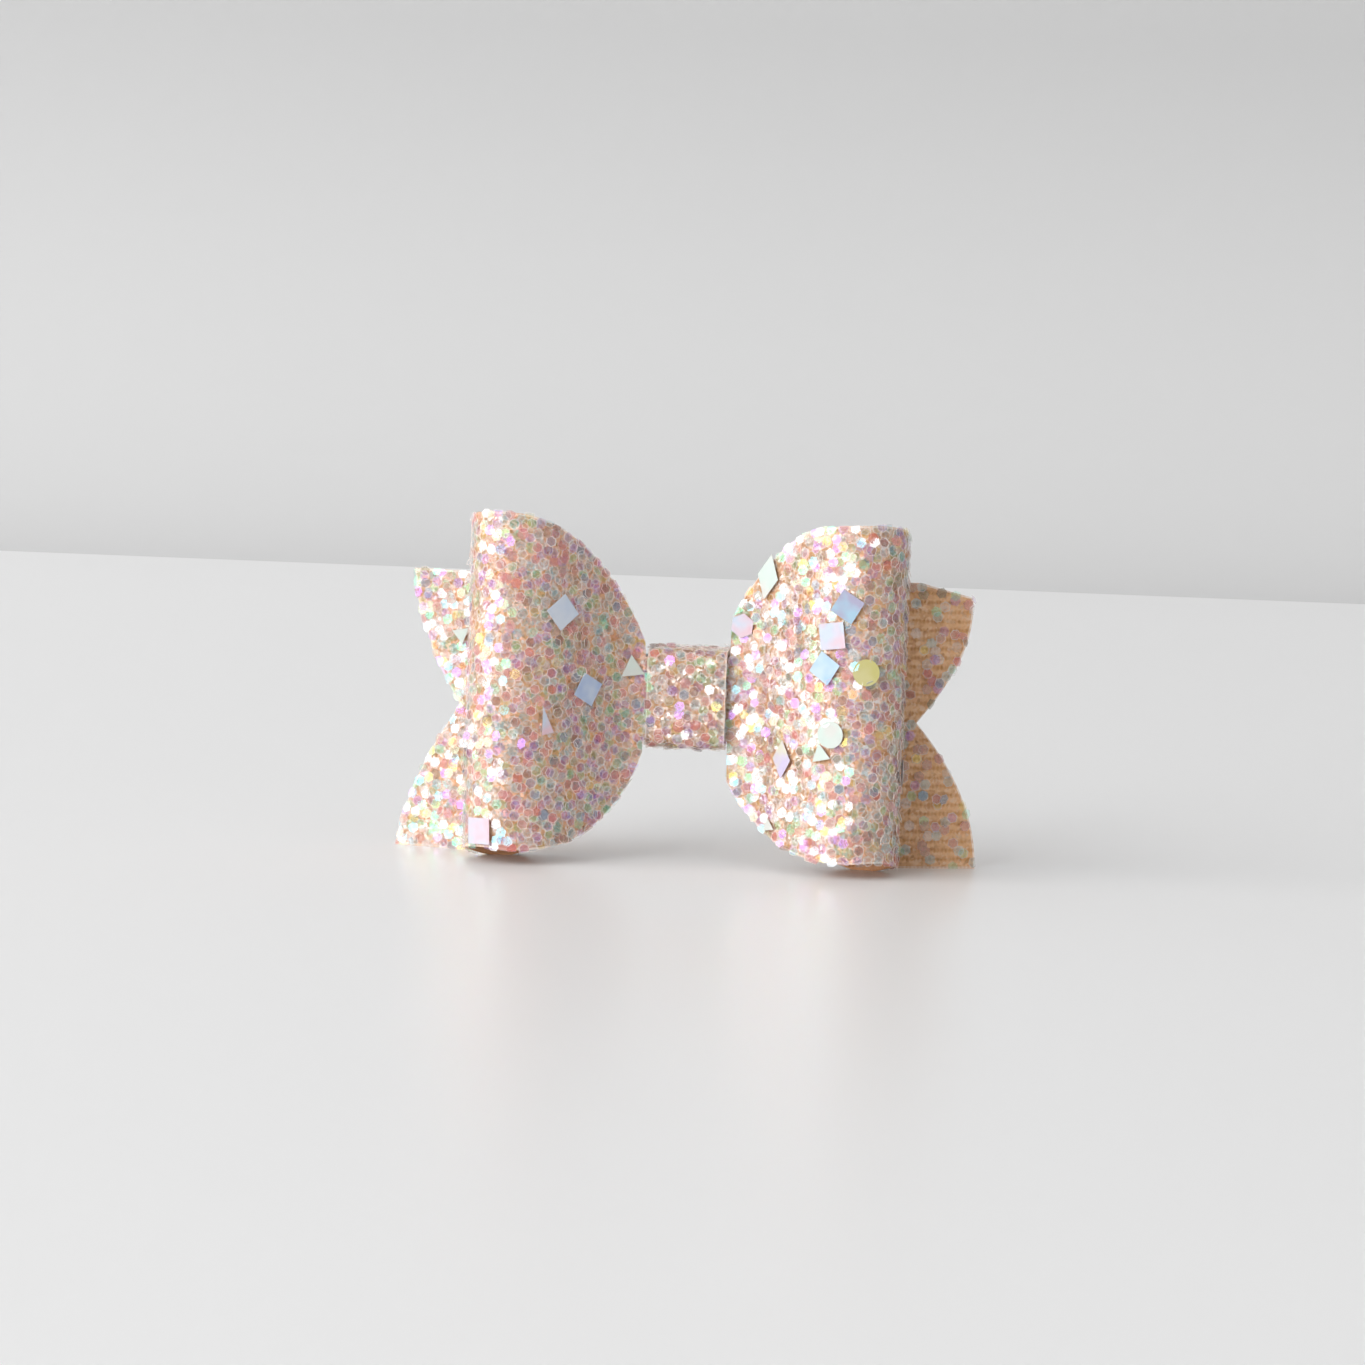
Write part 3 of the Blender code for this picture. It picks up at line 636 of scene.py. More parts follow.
def canvas_piece(name, strip, settings, node, left_look, right_look):
    """A closed sheet of canvas over a strip: coated face, ribbed woven back and cut edges."""
    columns, rows = strip.columns, strip.rows
    fronts = []
    backs = []
    places = []
    for i in range(columns + 1):
        for j in range(rows + 1):
            s, t = strip.grid(2 * i / columns - 1, 2 * j / rows - 1)
            spot, _, _, normal = strip.frame_at(s, t)
            rib = settings.rib_depth * (0.5 - 0.5 * math.cos(2 * math.pi * t / settings.rib_spacing))
            dip = (rib - settings.rib_depth) * (settings.coat_relief if strip.coat(s) == 1 else 1)
            fronts.append(spot + normal * (CANVAS_FACE + dip))
            backs.append(spot - normal * (SHEET / 2 - settings.rib_depth + rib))
            places.append((s / MM, t / MM))
    count = len(places)
    column = rows + 1
    quads = []
    looks = []
    for i in range(columns):
        for j in range(rows):
            a = i * column + j
            quad = (a, a + column, a + column + 1, a + 1)
            quads.append(quad)
            quads.append(tuple(count + k for k in reversed(quad)))
            face = RIGHT_FACE if places[a][0] >= 0 else LEFT_FACE
            edged = i in (0, columns - 1) or j in (0, rows - 1)
            looks += [CUT_EDGE if edged else face, BACK_FACE]
    rim = list(range(rows))
    rim += [i * column + rows for i in range(columns)]
    rim += [columns * column + j for j in range(rows, 0, -1)]
    rim += [i * column for i in range(columns, 0, -1)]
    for a, b in zip(rim, rim[1:] + rim[:1]):
        quads.append((a, b, count + b, count + a))
        looks.append(CUT_EDGE)
    mesh = bpy.data.meshes.new(name)
    mesh.from_pydata(fronts + backs, [], quads)
    mesh.polygons.foreach_set("material_index", looks)
    layer = mesh.uv_layers.new(name="weave")
    for loop in mesh.loops:
        layer.data[loop.index].uv = places[loop.vertex_index % count]
    mesh.shade_smooth()
    mesh.set_sharp_from_angle(angle=SHARP)
    for look in (left_look, right_look, WOVEN, CUT):
        mesh.materials.append(bpy.data.materials[look])
    made = add_object(name, mesh)
    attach(made, BOW)
    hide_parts(node)
    return made


def film_looks(settings):
    """Iridescent polyester film, cut into flakes and shapes.

    A clear flake is a faint mirror of one hue, which flashes where it mirrors the window and is
    see-through elsewhere. A tinted one keeps some colour of its own. The large shapes are pearly,
    and turn from one pastel to another, partly their own tint and partly painted reflection of a
    slightly curved shape. A cut edge scatters light, and draws a pale line round a flake.
    """
    for name, _, glint in CLEAR_FLAKES:
        new_material(name, Base_Color=colour(glint), Metallic=1.0, Alpha=CLEAR_COVER, Roughness=0.15)
    for name, _, body, glint in TINTED_FLAKES:
        new_material(
            name,
            Base_Color=colour(body),
            Specular_Tint=colour(glint),
            Specular_IOR_Level=1.0,
            Alpha=TINTED_COVER,
            Roughness=0.15,
            IOR=2.2,
        )
    for name, *turning in PEARLS:
        _, tree, shader = new_material(name, Roughness=0.2, IOR=1.6)
        place = add_node(tree, "ShaderNodeUVMap", uv_map="film").outputs["UV"]
        # Partly painted reflection: a noise turns each shape between two pastels, as a slightly curved
        # shape mirrors the room unevenly
        cloud = add_node(tree, "ShaderNodeTexNoise", {"Vector": place, "Scale": MM / settings.pearl_size})
        stops = zip(PEARL_TURN, map(colour, turning))
        ramp = add_node(tree, "ShaderNodeValToRGB", {"Fac": cloud.outputs["Fac"]}, stops)
        feed(tree, shader, {"Base Color": ramp.outputs["Color"]})
    new_material(FILM_LOOKS[RIM], Base_Color=colour("FBF0EA"), Alpha=RIM_COVER, Roughness=0.4)


class FlakeMesh:
    """Gathers thin closed plates into one mesh."""

    def __init__(self, strip, settings):
        self.strip = strip
        self.settings = settings
        self.points = []
        self.spots = []
        self.faces = []
        self.looks = []

    def add(self, outline, s, t, lift, lean, look, rim, over):
        """A plate with this outline at a place on the strip, lifted and leaning off the canvas."""
        corners = []
        for a, b in outline:
            inside = self.strip.trim(s + a, t + b, over)
            corners.append((inside[0] - s, inside[1] - t))
        if inner_area(corners) < LEAST_KEPT * inner_area(outline):
            return
        n = len(corners)
        spot, along, across, normal = self.strip.frame_at(s, t)
        up = (normal + along * lean[0] + across * lean[1]).normalized()
        right = (along - up * along.dot(up)).normalized()
        top = up.cross(right)
        middle = Vector((sum(c[0] for c in corners) / n, sum(c[1] for c in corners) / n))
        reach = max((Vector(c) - middle).length for c in corners)
        inset = max(1 - self.settings.rim_width / reach, LEAST_INSET)
        half = self.settings.flake_thickness / 2
        first = len(self.points)
        for scale, height in ((inset, half), (1.0, half), (1.0, -half)):
            for corner in corners:
                a, b = middle + (Vector(corner) - middle) * scale
                point = spot + right * a + top * b + normal * (CANVAS_FACE + lift) + up * height
                self.points.append((point.x, point.y, max(point.z, 0.0)))
                self.spots.append(((s + a) / MM, (t + b) / MM))
        self.faces.append([first + k for k in range(n)])
        self.faces.append([first + 2 * n + k for k in reversed(range(n))])
        self.looks += [look, look]
        for ring, ring_look in ((0, rim), (n, RIM)):
            for k in range(n):
                low = first + ring + k
                high = first + ring + (k + 1) % n
                self.faces.append((low, low + n, high + n, high))
                self.looks.append(ring_look)

    def piece(self, name):
        mesh = bpy.data.meshes.new(name)
        mesh.from_pydata(self.points, [], self.faces)
        for look in FILM_LOOKS:
            mesh.materials.append(bpy.data.materials[look])
        mesh.polygons.foreach_set("material_index", self.looks)
        layer = mesh.uv_layers.new(name="film")
        layer.data.foreach_set("uv", [c for face in self.faces for k in face for c in self.spots[k]])
        made = add_object(name, mesh)
        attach(made, BOW)
        return made


def polygon(corners, radius, turn, stretch=1.0):
    """Corners of a regular shape, drawn out along its first corner before it is turned."""
    found = []
    for k in range(corners):
        angle = 2 * math.pi * k / corners
        x, y = radius * math.cos(angle), radius * math.sin(angle) * stretch
        found.append((x * math.cos(turn) - y * math.sin(turn), x * math.sin(turn) + y * math.cos(turn)))
    return found


def around(cells, cell):
    """The places that lie in a square cell and in the eight round it."""
    i, j = cell
    return [p for a in (i - 1, i, i + 1) for b in (j - 1, j, j + 1) for p in cells.get((a, b), ())]


def sprinkle(strip, spacing, chance, taken):
    """Random places on a strip that lie at least one spacing apart."""
    low_s, high_s, low_t, high_t = strip.span
    cells = {}
    for _ in range(int(THROWS * (high_s - low_s) * (high_t - low_t) / spacing**2)):
        s = chance.uniform(low_s, high_s)
        t = chance.uniform(low_t, high_t)
        cell = (int(s // spacing), int(t // spacing))
        if any(math.hypot(s - p[0], t - p[1]) < spacing for p in around(cells, cell)):
            continue
        if strip.trim(s, t) != (s, t) or strip.bare(s, t):
            continue
        if any(math.hypot(s - p[0], t - p[1]) < p[2] for p in taken):
            continue
        cells.setdefault(cell, []).append((s, t))
        yield s, t


def glitter_piece(name, strip, settings, rimmed, taken=()):
    """All small hexagons on a strip: a flat bed, and a looser layer that leans on it."""
    chance = random.Random(settings.seed + len(name))
    flakes = FlakeMesh(strip, settings)
    width = settings.flake_width
    shares = [flake[1] for flake in FLAKES]
    # Painted shade: the shaded right tail keeps fewer clear flakes
    shaded_tail_shares = [share * (SHADED_TAIL_CLEAR if k < len(CLEAR_FLAKES) else 1) for k, share in enumerate(shares)]
    loose = settings.loose_share * strip.shingled
    bed = {}
    for spacing, lift in ((settings.bed_spacing, BED_LIFT), (settings.top_spacing, TOP_LIFT)):
        for s, t in list(sprinkle(strip, spacing, chance, taken)):
            if chance.random() > strip.coat(s):
                continue
            spread = settings.flake_lean * (LOOSE_LEAN if chance.random() < loose else 1)
            lean = [chance.gauss(0, spread), chance.gauss(settings.shingle_lean * strip.shingled, spread)]
            height = lift + math.hypot(*lean) * width * LEAN_LIFT
            cell = (int(s // width), int(t // width))
            for p in around(bed, cell):
                gap = math.hypot(s - p[0], t - p[1])
                lapped = max(0.0, 1 - gap / width)
                height += lapped * PILE_LIFT
                if gap > 0:
                    lean[0] += lapped * PILE_LEAN * (s - p[0]) / gap
                    lean[1] += lapped * PILE_LEAN * (t - p[1]) / gap
            bed.setdefault(cell, []).append((s, t))
            look = chance.choices(range(len(FLAKES)), shares if strip.coat(s) == 1 else shaded_tail_shares)[0]
            rim = RIM if chance.random() < rimmed else look
            outline = polygon(6, width / math.sqrt(3), chance.uniform(0, math.pi / 3))
            over = chance.uniform(0, settings.overhang)
            flakes.add(outline, s, t, height, lean, look, rim, over)
    made = flakes.piece(name)
    made.visible_shadow = False  # clear film casts next to no shadow
    return made


def unseen_shapes(strip, settings):
    """More large shapes on the loops' sides, as thickly as on the front."""
    chance = random.Random(settings.seed)
    _, _, crest, back, _, _ = strip.marks
    found = []
    for side in (-1, 1):
        for _ in range(settings.side_shapes):
            along = side * chance.uniform(crest + (back - crest) / 2, back) / MM
            up = chance.uniform(-SIDE_REACH, SIDE_REACH)
            kind = chance.choice(SHAPE_KINDS)
            turn = chance.uniform(0, 90)
            found.append((*kind, along, up, turn, chance.randrange(WHITE, OPAL + 1)))
    return tuple(found)


def shapes_piece(name, strip, settings, shapes):
    """Large cut shapes on a strip, and the places that they take."""
    large = FlakeMesh(strip, settings)
    taken = []
    for corners, radius, stretch, s, t, turn, look in shapes:
        outline = polygon(corners, radius * MM, math.radians(turn), stretch)
        large.add(outline, s * MM, t * MM, SHAPE_LIFT, (0, 0), look, look, settings.overhang)
        taken.append((s * MM, t * MM, SHAPE_CLEAR * radius * MM))
    return large.piece(name), taken


def dress(nodes, look):
    """Give solids of the frame a finish."""
    for name in nodes:
        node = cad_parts[name]
        node.data.materials.clear()
        node.data.materials.append(look)


def cloudy(tree, size):
    """Soft cloudy pattern of one size, fixed to the piece."""
    place = add_node(tree, "ShaderNodeTexCoord").outputs["Object"]
    clouds = {"Vector": place, "Scale": 1 / size, "Detail": 3.0}
    return add_node(tree, "ShaderNodeTexNoise", clouds).outputs["Fac"]


def glue_look(settings):
    """Hot-melt glue: milky, a little amber and waxy, with shallow ripples."""
    made, tree, shader = new_material("hot_melt_glue", Roughness=0.35, IOR=1.48, Subsurface_Weight=0.15)
    ripples = cloudy(tree, settings.glue_ripple)
    stops = ((0.0, settings.glue_amber), (1.0, settings.glue_milky))
    ramp = add_node(tree, "ShaderNodeValToRGB", {"Fac": ripples}, stops)
    bump = add_node(tree, "ShaderNodeBump", {"Height": ripples, "Strength": 0.4, "Distance": GLUE_BUMP})
    feed(tree, shader, {"Base Color": ramp.outputs["Color"], "Normal": bump.outputs["Normal"]})
    return made


def polished_metal(name, tint, least_rough, most_rough, mark):
    """Barrel-polished metal: hazy in patches, with a glint along its worn edges."""
    made, tree, shader = new_material(name, Base_Color=tint, Metallic=1.0)
    haze = {"Value": cloudy(tree, mark), "To Min": least_rough, "To Max": most_rough}
    rough = add_node(tree, "ShaderNodeMapRange", haze)
    edges = add_node(tree, "ShaderNodeBevel", {"Radius": WORN_EDGE}, samples=6)
    feed(tree, shader, {"Roughness": rough.outputs["Result"], "Normal": edges.outputs["Normal"]})
    return made


def spring_route():
    """Leg on the fixed leaf, coil round the pin and bent leg under the jaw's handle, from the hinge."""
    seat = STEEL / 2 + GAP + WIRE / 2
    low_end = Vector((LEG, seat - PIN_RISE, 0))
    knee = Vector((JAW_CROWN, JAW_RISE - seat, 0))
    handle = Vector((CLIP_HANDLE - PIN_X - JAW_CROWN, HANDLE_RISE, 0)).normalized()

    def leaving(end, side):
        """Angle on the coil where a straight leg to end leaves it."""
        return math.atan2(end.y, end.x) + side * math.acos(COIL_RADIUS / end.length)

    first, last = leaving(low_end, -1), leaving(knee, 1)
    sweep = (first - last) % (2 * math.pi) + 2 * math.pi * COIL_TURNS
    rise = Vector((0, 0, COIL_PITCH * sweep / (2 * math.pi)))
    count = round(COIL_POINTS * sweep / (2 * math.pi))
    route = [low_end - rise / 2]
    for k in range(count + 1):
        angle = first - sweep * k / count
        route.append(COIL_RADIUS * Vector((math.cos(angle), math.sin(angle), 0)) + rise * (k / count - 0.5))
    knee += rise / 2
    before = knee + (route[-1] - knee).normalized() * KNEE
    after = knee + handle * KNEE
    for k in range(KNEE_STEPS + 1):
        share = k / KNEE_STEPS
        route.append(before.lerp(knee, share).lerp(knee.lerp(after, share), share))
    return route + [knee + handle * (LEG - JAW_CROWN)]


def spring_piece(context, look):
    """Round spring wire: a leg on the fixed leaf, the coil round the pin and a bent leg under the jaw's
    handle.
    """
    low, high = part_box("clip_pin")
    hinge = (Vector(low) + Vector(high)) / 2
    route = spring_route()
    data = bpy.data.curves.new("spring_route", "CURVE")
    data.dimensions = "3D"
    data.bevel_depth = WIRE / 2
    data.bevel_resolution = WIRE_ROUNDS
    data.use_fill_caps = True
    spline = data.splines.new("POLY")
    spline.points.add(len(route) - 1)
    for target, spot in zip(spline.points, route):
        target.co = (*(hinge + spot), 1)
    curve = add_object("spring_route", data)
    mesh = bpy.data.meshes.new_from_object(curve.evaluated_get(context.evaluated_depsgraph_get()))
    bpy.data.objects.remove(curve)
    mesh.shade_smooth()
    mesh.set_sharp_from_angle(angle=SHARP)
    mesh.materials.append(look)
    wire = add_object("spring_wire", mesh)
    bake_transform(wire)
    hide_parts("clip_spring")


def add_camera(scene):
    """The photograph's camera, turned so that the target lies on its pixel."""
    data = bpy.data.cameras.new("camera")
    data.lens = data.sensor_width * VIEW_DISTANCE * VIEW_SCALE / VIEW_PIXELS
    data.clip_start = VIEW_NEAREST
    data.clip_end = VIEW_FURTHEST
    camera = add_object("camera", data)
    scene.camera = camera
    level = math.cos(VIEW_RISE)
    back = Vector((math.sin(VIEW_YAW) * level, -math.cos(VIEW_YAW) * level, math.sin(VIEW_RISE)))
    right = Vector((math.cos(VIEW_YAW), math.sin(VIEW_YAW), 0))
    up = back.cross(right)
    turned = Matrix.Rotation(VIEW_ROLL, 3, back)
    right, up = turned @ right, turned @ up
    off = VIEW_CENTRE - Vector((VIEW_PIXELS / 2, VIEW_PIXELS / 2))
    place = VIEW_TARGET + back * VIEW_DISTANCE
    aim = VIEW_TARGET - right * (off.x / VIEW_SCALE) + up * (off.y / VIEW_SCALE)
    look = (place - aim).normalized()
    right = (right - look * right.dot(look)).normalized()
    up = look.cross(right)
    camera.matrix_world = Matrix.Translation(place) @ Matrix((right, up, look)).transposed().to_4x4()


def add_floor(settings):
    """A pale glossy table that sweeps up into a wall behind the bow."""
    profile = [(-FLOOR_REACH, 0.0), (WALL_FOOT, 0.0)]
    for k in range(1, ARC_STEPS + 1):
        angle = math.pi / 2 * k / ARC_STEPS
        profile.append((WALL_FOOT + COVE * math.sin(angle), COVE - COVE * math.cos(angle)))
    profile.append((WALL_FOOT + COVE, FLOOR_REACH))
    points = [(x, y, z) for x in (-2 * FLOOR_REACH, 2 * FLOOR_REACH) for y, z in profile]
    n = len(profile)
    faces = [(k, n + k, n + k + 1, k + 1) for k in range(n - 1)]
    mesh = bpy.data.meshes.new("table")
    mesh.from_pydata(points, [], faces)
    mesh.shade_smooth()
    # White lacquer: a pale even tone that mirrors the bow softly
    lacquer = new_material("white_lacquer", Base_Color=settings.floor_colour, Roughness=0.3)[0]
    # Matt paint: a little darker up the wall
    paint, tree, shader = new_material("matt_paint", Roughness=0.9)
    place = add_node(tree, "ShaderNodeTexCoord").outputs["Object"]
    height = add_node(tree, "ShaderNodeSeparateXYZ", {"Vector": place}).outputs["Z"]
    stops = ((0.0, settings.wall_foot), (COVE, settings.wall_colour))
    ramp = add_node(tree, "ShaderNodeValToRGB", {"Fac": height}, stops)
    feed(tree, shader, {"Base Color": ramp.outputs["Color"]})
    mesh.materials.append(lacquer)
    mesh.materials.append(paint)
    mesh.polygons.foreach_set("material_index", [int(k > 0) for k in range(n - 1)])
    add_object("table", mesh)


def add_light(scene, settings):
    """An even room that is brighter at the window's side, the window and the fill."""
    world = bpy.data.worlds.new("room")
    scene.world = world
    world.use_nodes = True
    tree = world.node_tree
    sight = add_node(tree, "ShaderNodeTexCoord").outputs["Generated"]
    across = add_node(tree, "ShaderNodeSeparateXYZ", {"Vector": sight}).outputs["X"]
    sides = {"Value": across, "From Min": -ROOM_TURN, "From Max": ROOM_TURN}
    sides |= {"To Min": settings.room_light, "To Max": settings.room_shade}
    level = add_node(tree, "ShaderNodeMapRange", sides)
    white = (1.0, 1.0, 1.0, 1.0)
    feed(tree, tree.nodes["Background"], {"Color": white, "Strength": level.outputs["Result"]})
    add_lamp("window", WINDOW_SIZE, settings.window_power, WINDOW_TURN, WINDOW_RISE)
    add_lamp("fill", FILL_SIZE, settings.fill_power, FILL_TURN, FILL_RISE)


def add_lamp(name, size, power, turn, rise):
    """A soft panel of light that faces the bow; turn is from the front towards the left."""
    data = bpy.data.lights.new(name, "AREA")
    data.shape = "RECTANGLE"
    data.size, data.size_y = size
    data.energy = power
    towards = Vector((-math.sin(turn) * math.cos(rise), -math.cos(turn) * math.cos(rise), math.sin(rise)))
    turned = towards.to_track_quat("Z", "Y").to_matrix().to_4x4()
    lamp = add_object(name, data)
    lamp.matrix_world = Matrix.Translation(VIEW_TARGET + towards * LAMP_DISTANCE) @ turned


def length(name, description, size):
    """A length that a user can change."""
    return FloatProperty(name=name, description=description, default=size, unit="LENGTH")


def factor(name, description, share):
    """A share, from none to all, that a user can change."""
    return FloatProperty(name=name, description=description, default=share, subtype="FACTOR")


def power(name, description, watts):
    """A lamp's power that a user can change."""
    return FloatProperty(name=name, description=description, default=watts, unit="POWER")


def swatch(name, description, code):
    """A colour that a user can change, given as sRGB hex."""
    return FloatVectorProperty(name=name, description=description, default=colour(code), subtype="COLOR")


class BowCanvas(bpy.types.PropertyGroup):
    """Sizes and colours of the canvas."""

    rib_spacing: length("Rib spacing", "Between the ribs of the weave", 1.0 * MM)
    rib_depth: length("Rib depth", "From crown to groove", 0.09 * MM)
    thread_spacing: length("Thread spacing", "Between the threads that cross the ribs", 0.42 * MM)
    dust_size: length("Dust size", "Width of the fine glitter in the binder", 0.3 * MM)
    dust_shine: factor("Dust shine", "How far the fine glitter mirrors like metal", 0.55)
    dust_lean: factor("Dust lean", "How unevenly the fine glitter lies", 0.3)
    coat_relief: factor("Coat relief", "How much of the weave a thick coat shows", 0.25)
    face_dust: factor("Dust", "How thickly the fine glitter covers", 0.65)
    # Painted shade: this dust setting is for the right tail's shaded copy of the coat
    shaded_tail_dust: factor("Thin dust", "The same where the coat is thin", 0.18)
    face_light: swatch("Face", "Coated canvas on the crowns", "CEA27A")
    # Painted shade: this groove colour darkens the weave's low places
    face_groove_shade: swatch("Face grooves", "Coated canvas in the grooves", "B07A42")
    # Painted shade: these two colours are the right tail's shaded copy of the coat, the second also painted
    # shade in its grooves
    shaded_tail_light: swatch("Thin face", "Thinly coated canvas on the crowns", "E2B284")
    shaded_tail_groove_shade: swatch("Thin grooves", "Thinly coated canvas in the grooves", "C8925A")
    dust_pale: swatch("Pale dust", "Most of the fine glitter", "F8EFEA")
    dust_rose: swatch("Rosy dust", "The rest of the fine glitter", "D8A698")
    back_light: swatch("Back", "Woven cotton on the crowns", "E9B58A")
    # Painted shade: this groove colour darkens the weave's low places
    back_groove_shade: swatch("Back grooves", "Woven cotton in the grooves", "C07F4C")
    edge_light: swatch("Cut edge", "Cut fibres and binder", "F2E0D2")
    # Painted shade: this colour darkens the places between the cut fibres
    edge_groove_shade: swatch("Cut edge shade", "Between the cut fibres", "DDB89C")


class BowGlitter(bpy.types.PropertyGroup):
    """Sizes of the flakes and how thickly they lie."""

    flake_width: length("Flake width", "Across the flats of a hexagon", 1.07 * MM)
    flake_thickness: length("Flake thickness", "Film and its glue", 0.05 * MM)
    rim_width: length("Rim width", "Pale line round a flake", 0.07 * MM)
    overhang: length("Overhang", "How far a flake may stand over a cut edge", 0.3 * MM)
    bed_spacing: length("Bed spacing", "Least distance of the flakes in the flat bed", 0.84 * MM)
    top_spacing: length("Top spacing", "Least distance of the flakes on the bed", 1.12 * MM)
    pearl_size: length("Pearl size", "Width of the colour changes on a large shape", 3.0 * MM)
    loop_rims: factor("Rims on loops", "Share of the flakes with a pale rim", 0.6)
    tail_rims: factor("Rims on tails", "Share of the flakes with a pale rim", 0.5)
    loose_share: factor("Loose flakes", "Share of the flakes that lie steeper", 0.15)
    flake_lean: FloatProperty(
        name="Lean", description="Spread of the slope at which the flakes lie", default=0.13, min=0.0
    )
    shingle_lean: FloatProperty(
        name="Shingle lean", description="Slope at which each flake lies on the next", default=0.08
    )
    side_shapes: IntProperty(
        name="Side shapes", description="Large shapes on each loop's side", default=4, min=0
    )
    seed: IntProperty(name="Seed", description="Picks another sprinkling", default=7)


class BowHardware(bpy.types.PropertyGroup):
    """Colours of the glue and the clip, and the sizes of their marks."""

    glue_milky: swatch("Milky glue", "Thick parts of the glue", "EFE8D2")
    glue_amber: swatch("Amber glue", "Thin parts of the glue", "DCCFA8")
    glue_ripple: length("Glue ripples", "Width of the ripples in the glue", 1.2 * MM)
    nickel: swatch("Nickel", "Plate of the leaves and the pin", "D9D6CF")
    wire: swatch("Spring wire", "Plate of the spring", "BDBAB4")
    polish_mark: length("Polish marks", "Width of the haze on the steel", 0.8 * MM)


class BowStage(bpy.types.PropertyGroup):
    """Light and floor."""

    window_power: power("Window", "Light from the large soft window at the left", 43.0)
    fill_power: power("Fill", "Light from the soft panel above at the right", 2.0)
    room_light: FloatProperty(
        name="Room", description="Even light from the window's side of the room", default=0.76
    )
    room_shade: FloatProperty(
        name="Room shade", description="Even light from the far side of the room", default=0.38
    )
    floor_colour: swatch("Floor", "Pale table", "EDEDED")
    wall_foot: swatch("Wall foot", "Wall where it meets the table", "D6D6D6")
    wall_colour: swatch("Wall", "Pale wall behind the table", "C0C0C0")


class HAIRBOW_OT_stage(bpy.types.Operator):
    """Set the camera, the soft window light and the pale table"""

    bl_idname = "hair_bow.stage"
    bl_label = "Stage"

    def execute(self, context):
        scene = context.scene
        add_camera(scene)
        add_floor(scene.bow_stage)
        add_light(scene, scene.bow_stage)
        scene.view_settings.view_transform = "Standard"
        return {"FINISHED"}


class HAIRBOW_OT_finishes(bpy.types.Operator):
    """Mix the finishes of the canvas and the film"""

    bl_idname = "hair_bow.finishes"
    bl_label = "Finishes"

    def execute(self, context):
        canvas_looks(context.scene.bow_canvas)
        film_looks(context.scene.bow_glitter)
        return {"FINISHED"}


class HAIRBOW_OT_loops(bpy.types.Operator):
    """Fold the loops' strip of canvas and lay its glitter"""

    bl_idname = "hair_bow.loops"
    bl_label = "Loops"

    def execute(self, context):
        settings = context.scene.bow_glitter
        strip = LoopStrip()
        canvas = canvas_piece("loops_canvas", strip, context.scene.bow_canvas, "bow_loops", THICK, THICK)
        shapes = LOOP_SHAPES + unseen_shapes(strip, settings)
        large, taken = shapes_piece("loops_cut_shapes", strip, settings, shapes)
        small = glitter_piece("loops_glitter", strip, settings, settings.loop_rims, taken)
        strip.area()
        return {"FINISHED"}


class HAIRBOW_OT_tails(bpy.types.Operator):
    """Cut the fishtail strip behind the loops and lay its glitter"""

    bl_idname = "hair_bow.tails"
    bl_label = "Tails"

    def execute(self, context):
        settings = context.scene.bow_glitter
        strip = TailStrip()
        # The right tail gets the painted shade copy of the coat
        canvas = canvas_piece("tails_canvas", strip, context.scene.bow_canvas, "bow_tails", THICK, SHADED_TAIL)
        large, taken = shapes_piece("tails_cut_shapes", strip, settings, TAIL_SHAPES)
        small = glitter_piece("tails_glitter", strip, settings, settings.tail_rims, taken)
        strip.area()
        return {"FINISHED"}


class HAIRBOW_OT_band(bpy.types.Operator):
    """Wrap the band round the waist and lay its glitter"""

    bl_idname = "hair_bow.band"
    bl_label = "Band"

    def execute(self, context):
        settings = context.scene.bow_glitter
        strip = BandStrip()
        canvas_piece("band_canvas", strip, context.scene.bow_canvas, "centre_band", THICK, THICK)
        glitter_piece("band_glitter", strip, settings, settings.loop_rims)
        return {"FINISHED"}


class HAIRBOW_OT_glue(bpy.types.Operator):
    """Finish the pads of glue between the layers"""

    bl_idname = "hair_bow.glue"
    bl_label = "Glue"

    def execute(self, context):
        pads = ("glue_strip_ends", "glue_tails", "glue_clip", "glue_band_lap")
        dress(pads, glue_look(context.scene.bow_hardware))
        return {"FINISHED"}


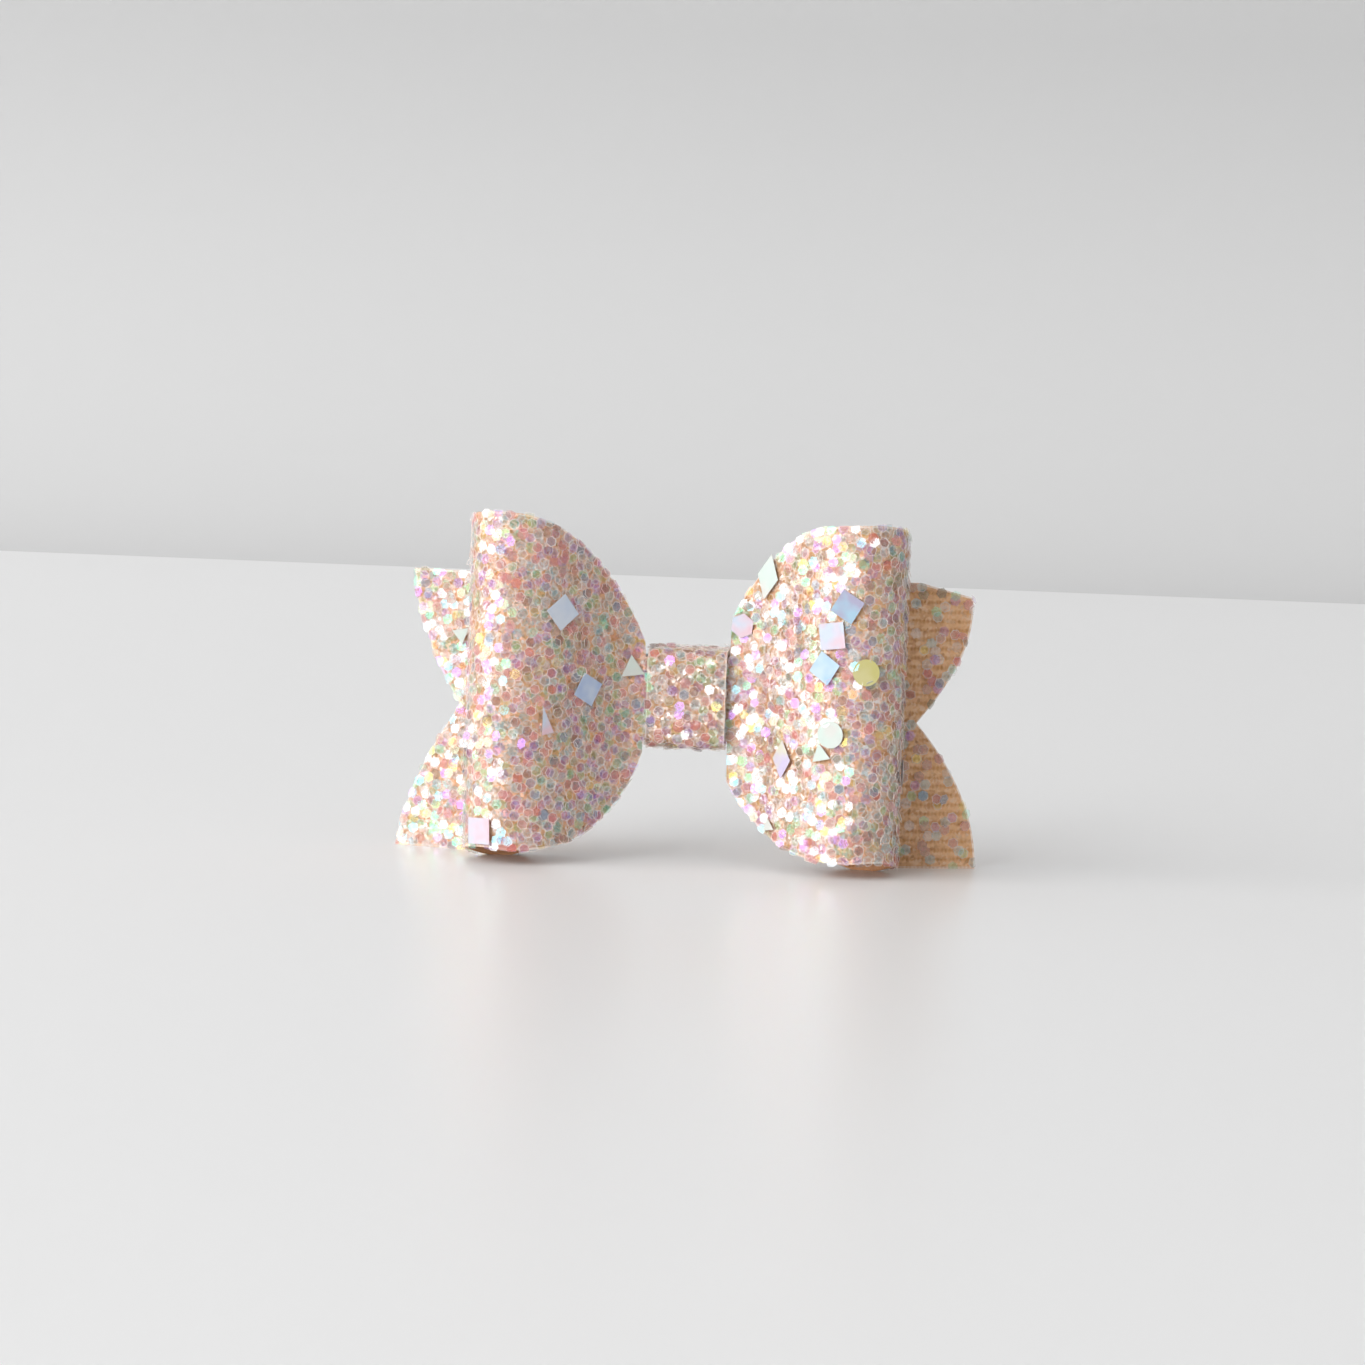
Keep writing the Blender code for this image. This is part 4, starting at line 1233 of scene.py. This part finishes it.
class HAIRBOW_OT_clip(bpy.types.Operator):
    """Finish the steel clip and wind its spring"""

    bl_idname = "hair_bow.clip"
    bl_label = "Clip"

    def execute(self, context):
        settings = context.scene.bow_hardware
        # Nickel plate on stamped steel: bright, with a faint haze from the barrel polishing
        plate = polished_metal("nickel_plated_steel", settings.nickel, 0.16, 0.34, settings.polish_mark)
        # Drawn spring wire: the same plate, duller
        wire = polished_metal("plated_spring_wire", settings.wire, 0.28, 0.45, settings.polish_mark)
        dress(("clip_fixed_leaf", "clip_jaw", "clip_pin"), plate)
        spring_piece(context, wire)
        return {"FINISHED"}


class HAIRBOW_PT_panel(bpy.types.Panel):
    """Lists the bow's pieces"""

    bl_idname = "HAIRBOW_PT_panel"
    bl_label = "Hair Bow"
    bl_space_type = "VIEW_3D"
    bl_region_type = "UI"
    bl_category = "Hair Bow"

    def draw(self, context):
        for operator in OPERATORS:
            self.layout.operator(operator.bl_idname)


SETTINGS = {
    "bow_canvas": BowCanvas,
    "bow_glitter": BowGlitter,
    "bow_hardware": BowHardware,
    "bow_stage": BowStage,
}
OPERATORS = (
    HAIRBOW_OT_stage,
    HAIRBOW_OT_finishes,
    HAIRBOW_OT_loops,
    HAIRBOW_OT_tails,
    HAIRBOW_OT_band,
    HAIRBOW_OT_glue,
    HAIRBOW_OT_clip,
)


def register():
    for name, group in SETTINGS.items():
        bpy.utils.register_class(group)
        setattr(bpy.types.Scene, name, PointerProperty(type=group))
    for operator in OPERATORS:
        bpy.utils.register_class(operator)
    bpy.utils.register_class(HAIRBOW_PT_panel)


def unregister():
    bpy.utils.unregister_class(HAIRBOW_PT_panel)
    for operator in reversed(OPERATORS):
        bpy.utils.unregister_class(operator)
    for name, group in SETTINGS.items():
        delattr(bpy.types.Scene, name)
        bpy.utils.unregister_class(group)


def main():
    register()
    bpy.ops.hair_bow.stage()
    bpy.ops.hair_bow.finishes()
    bpy.ops.hair_bow.loops()
    bpy.ops.hair_bow.tails()
    bpy.ops.hair_bow.band()
    bpy.ops.hair_bow.glue()
    bpy.ops.hair_bow.clip()


if __name__ == "__main__":
    main()
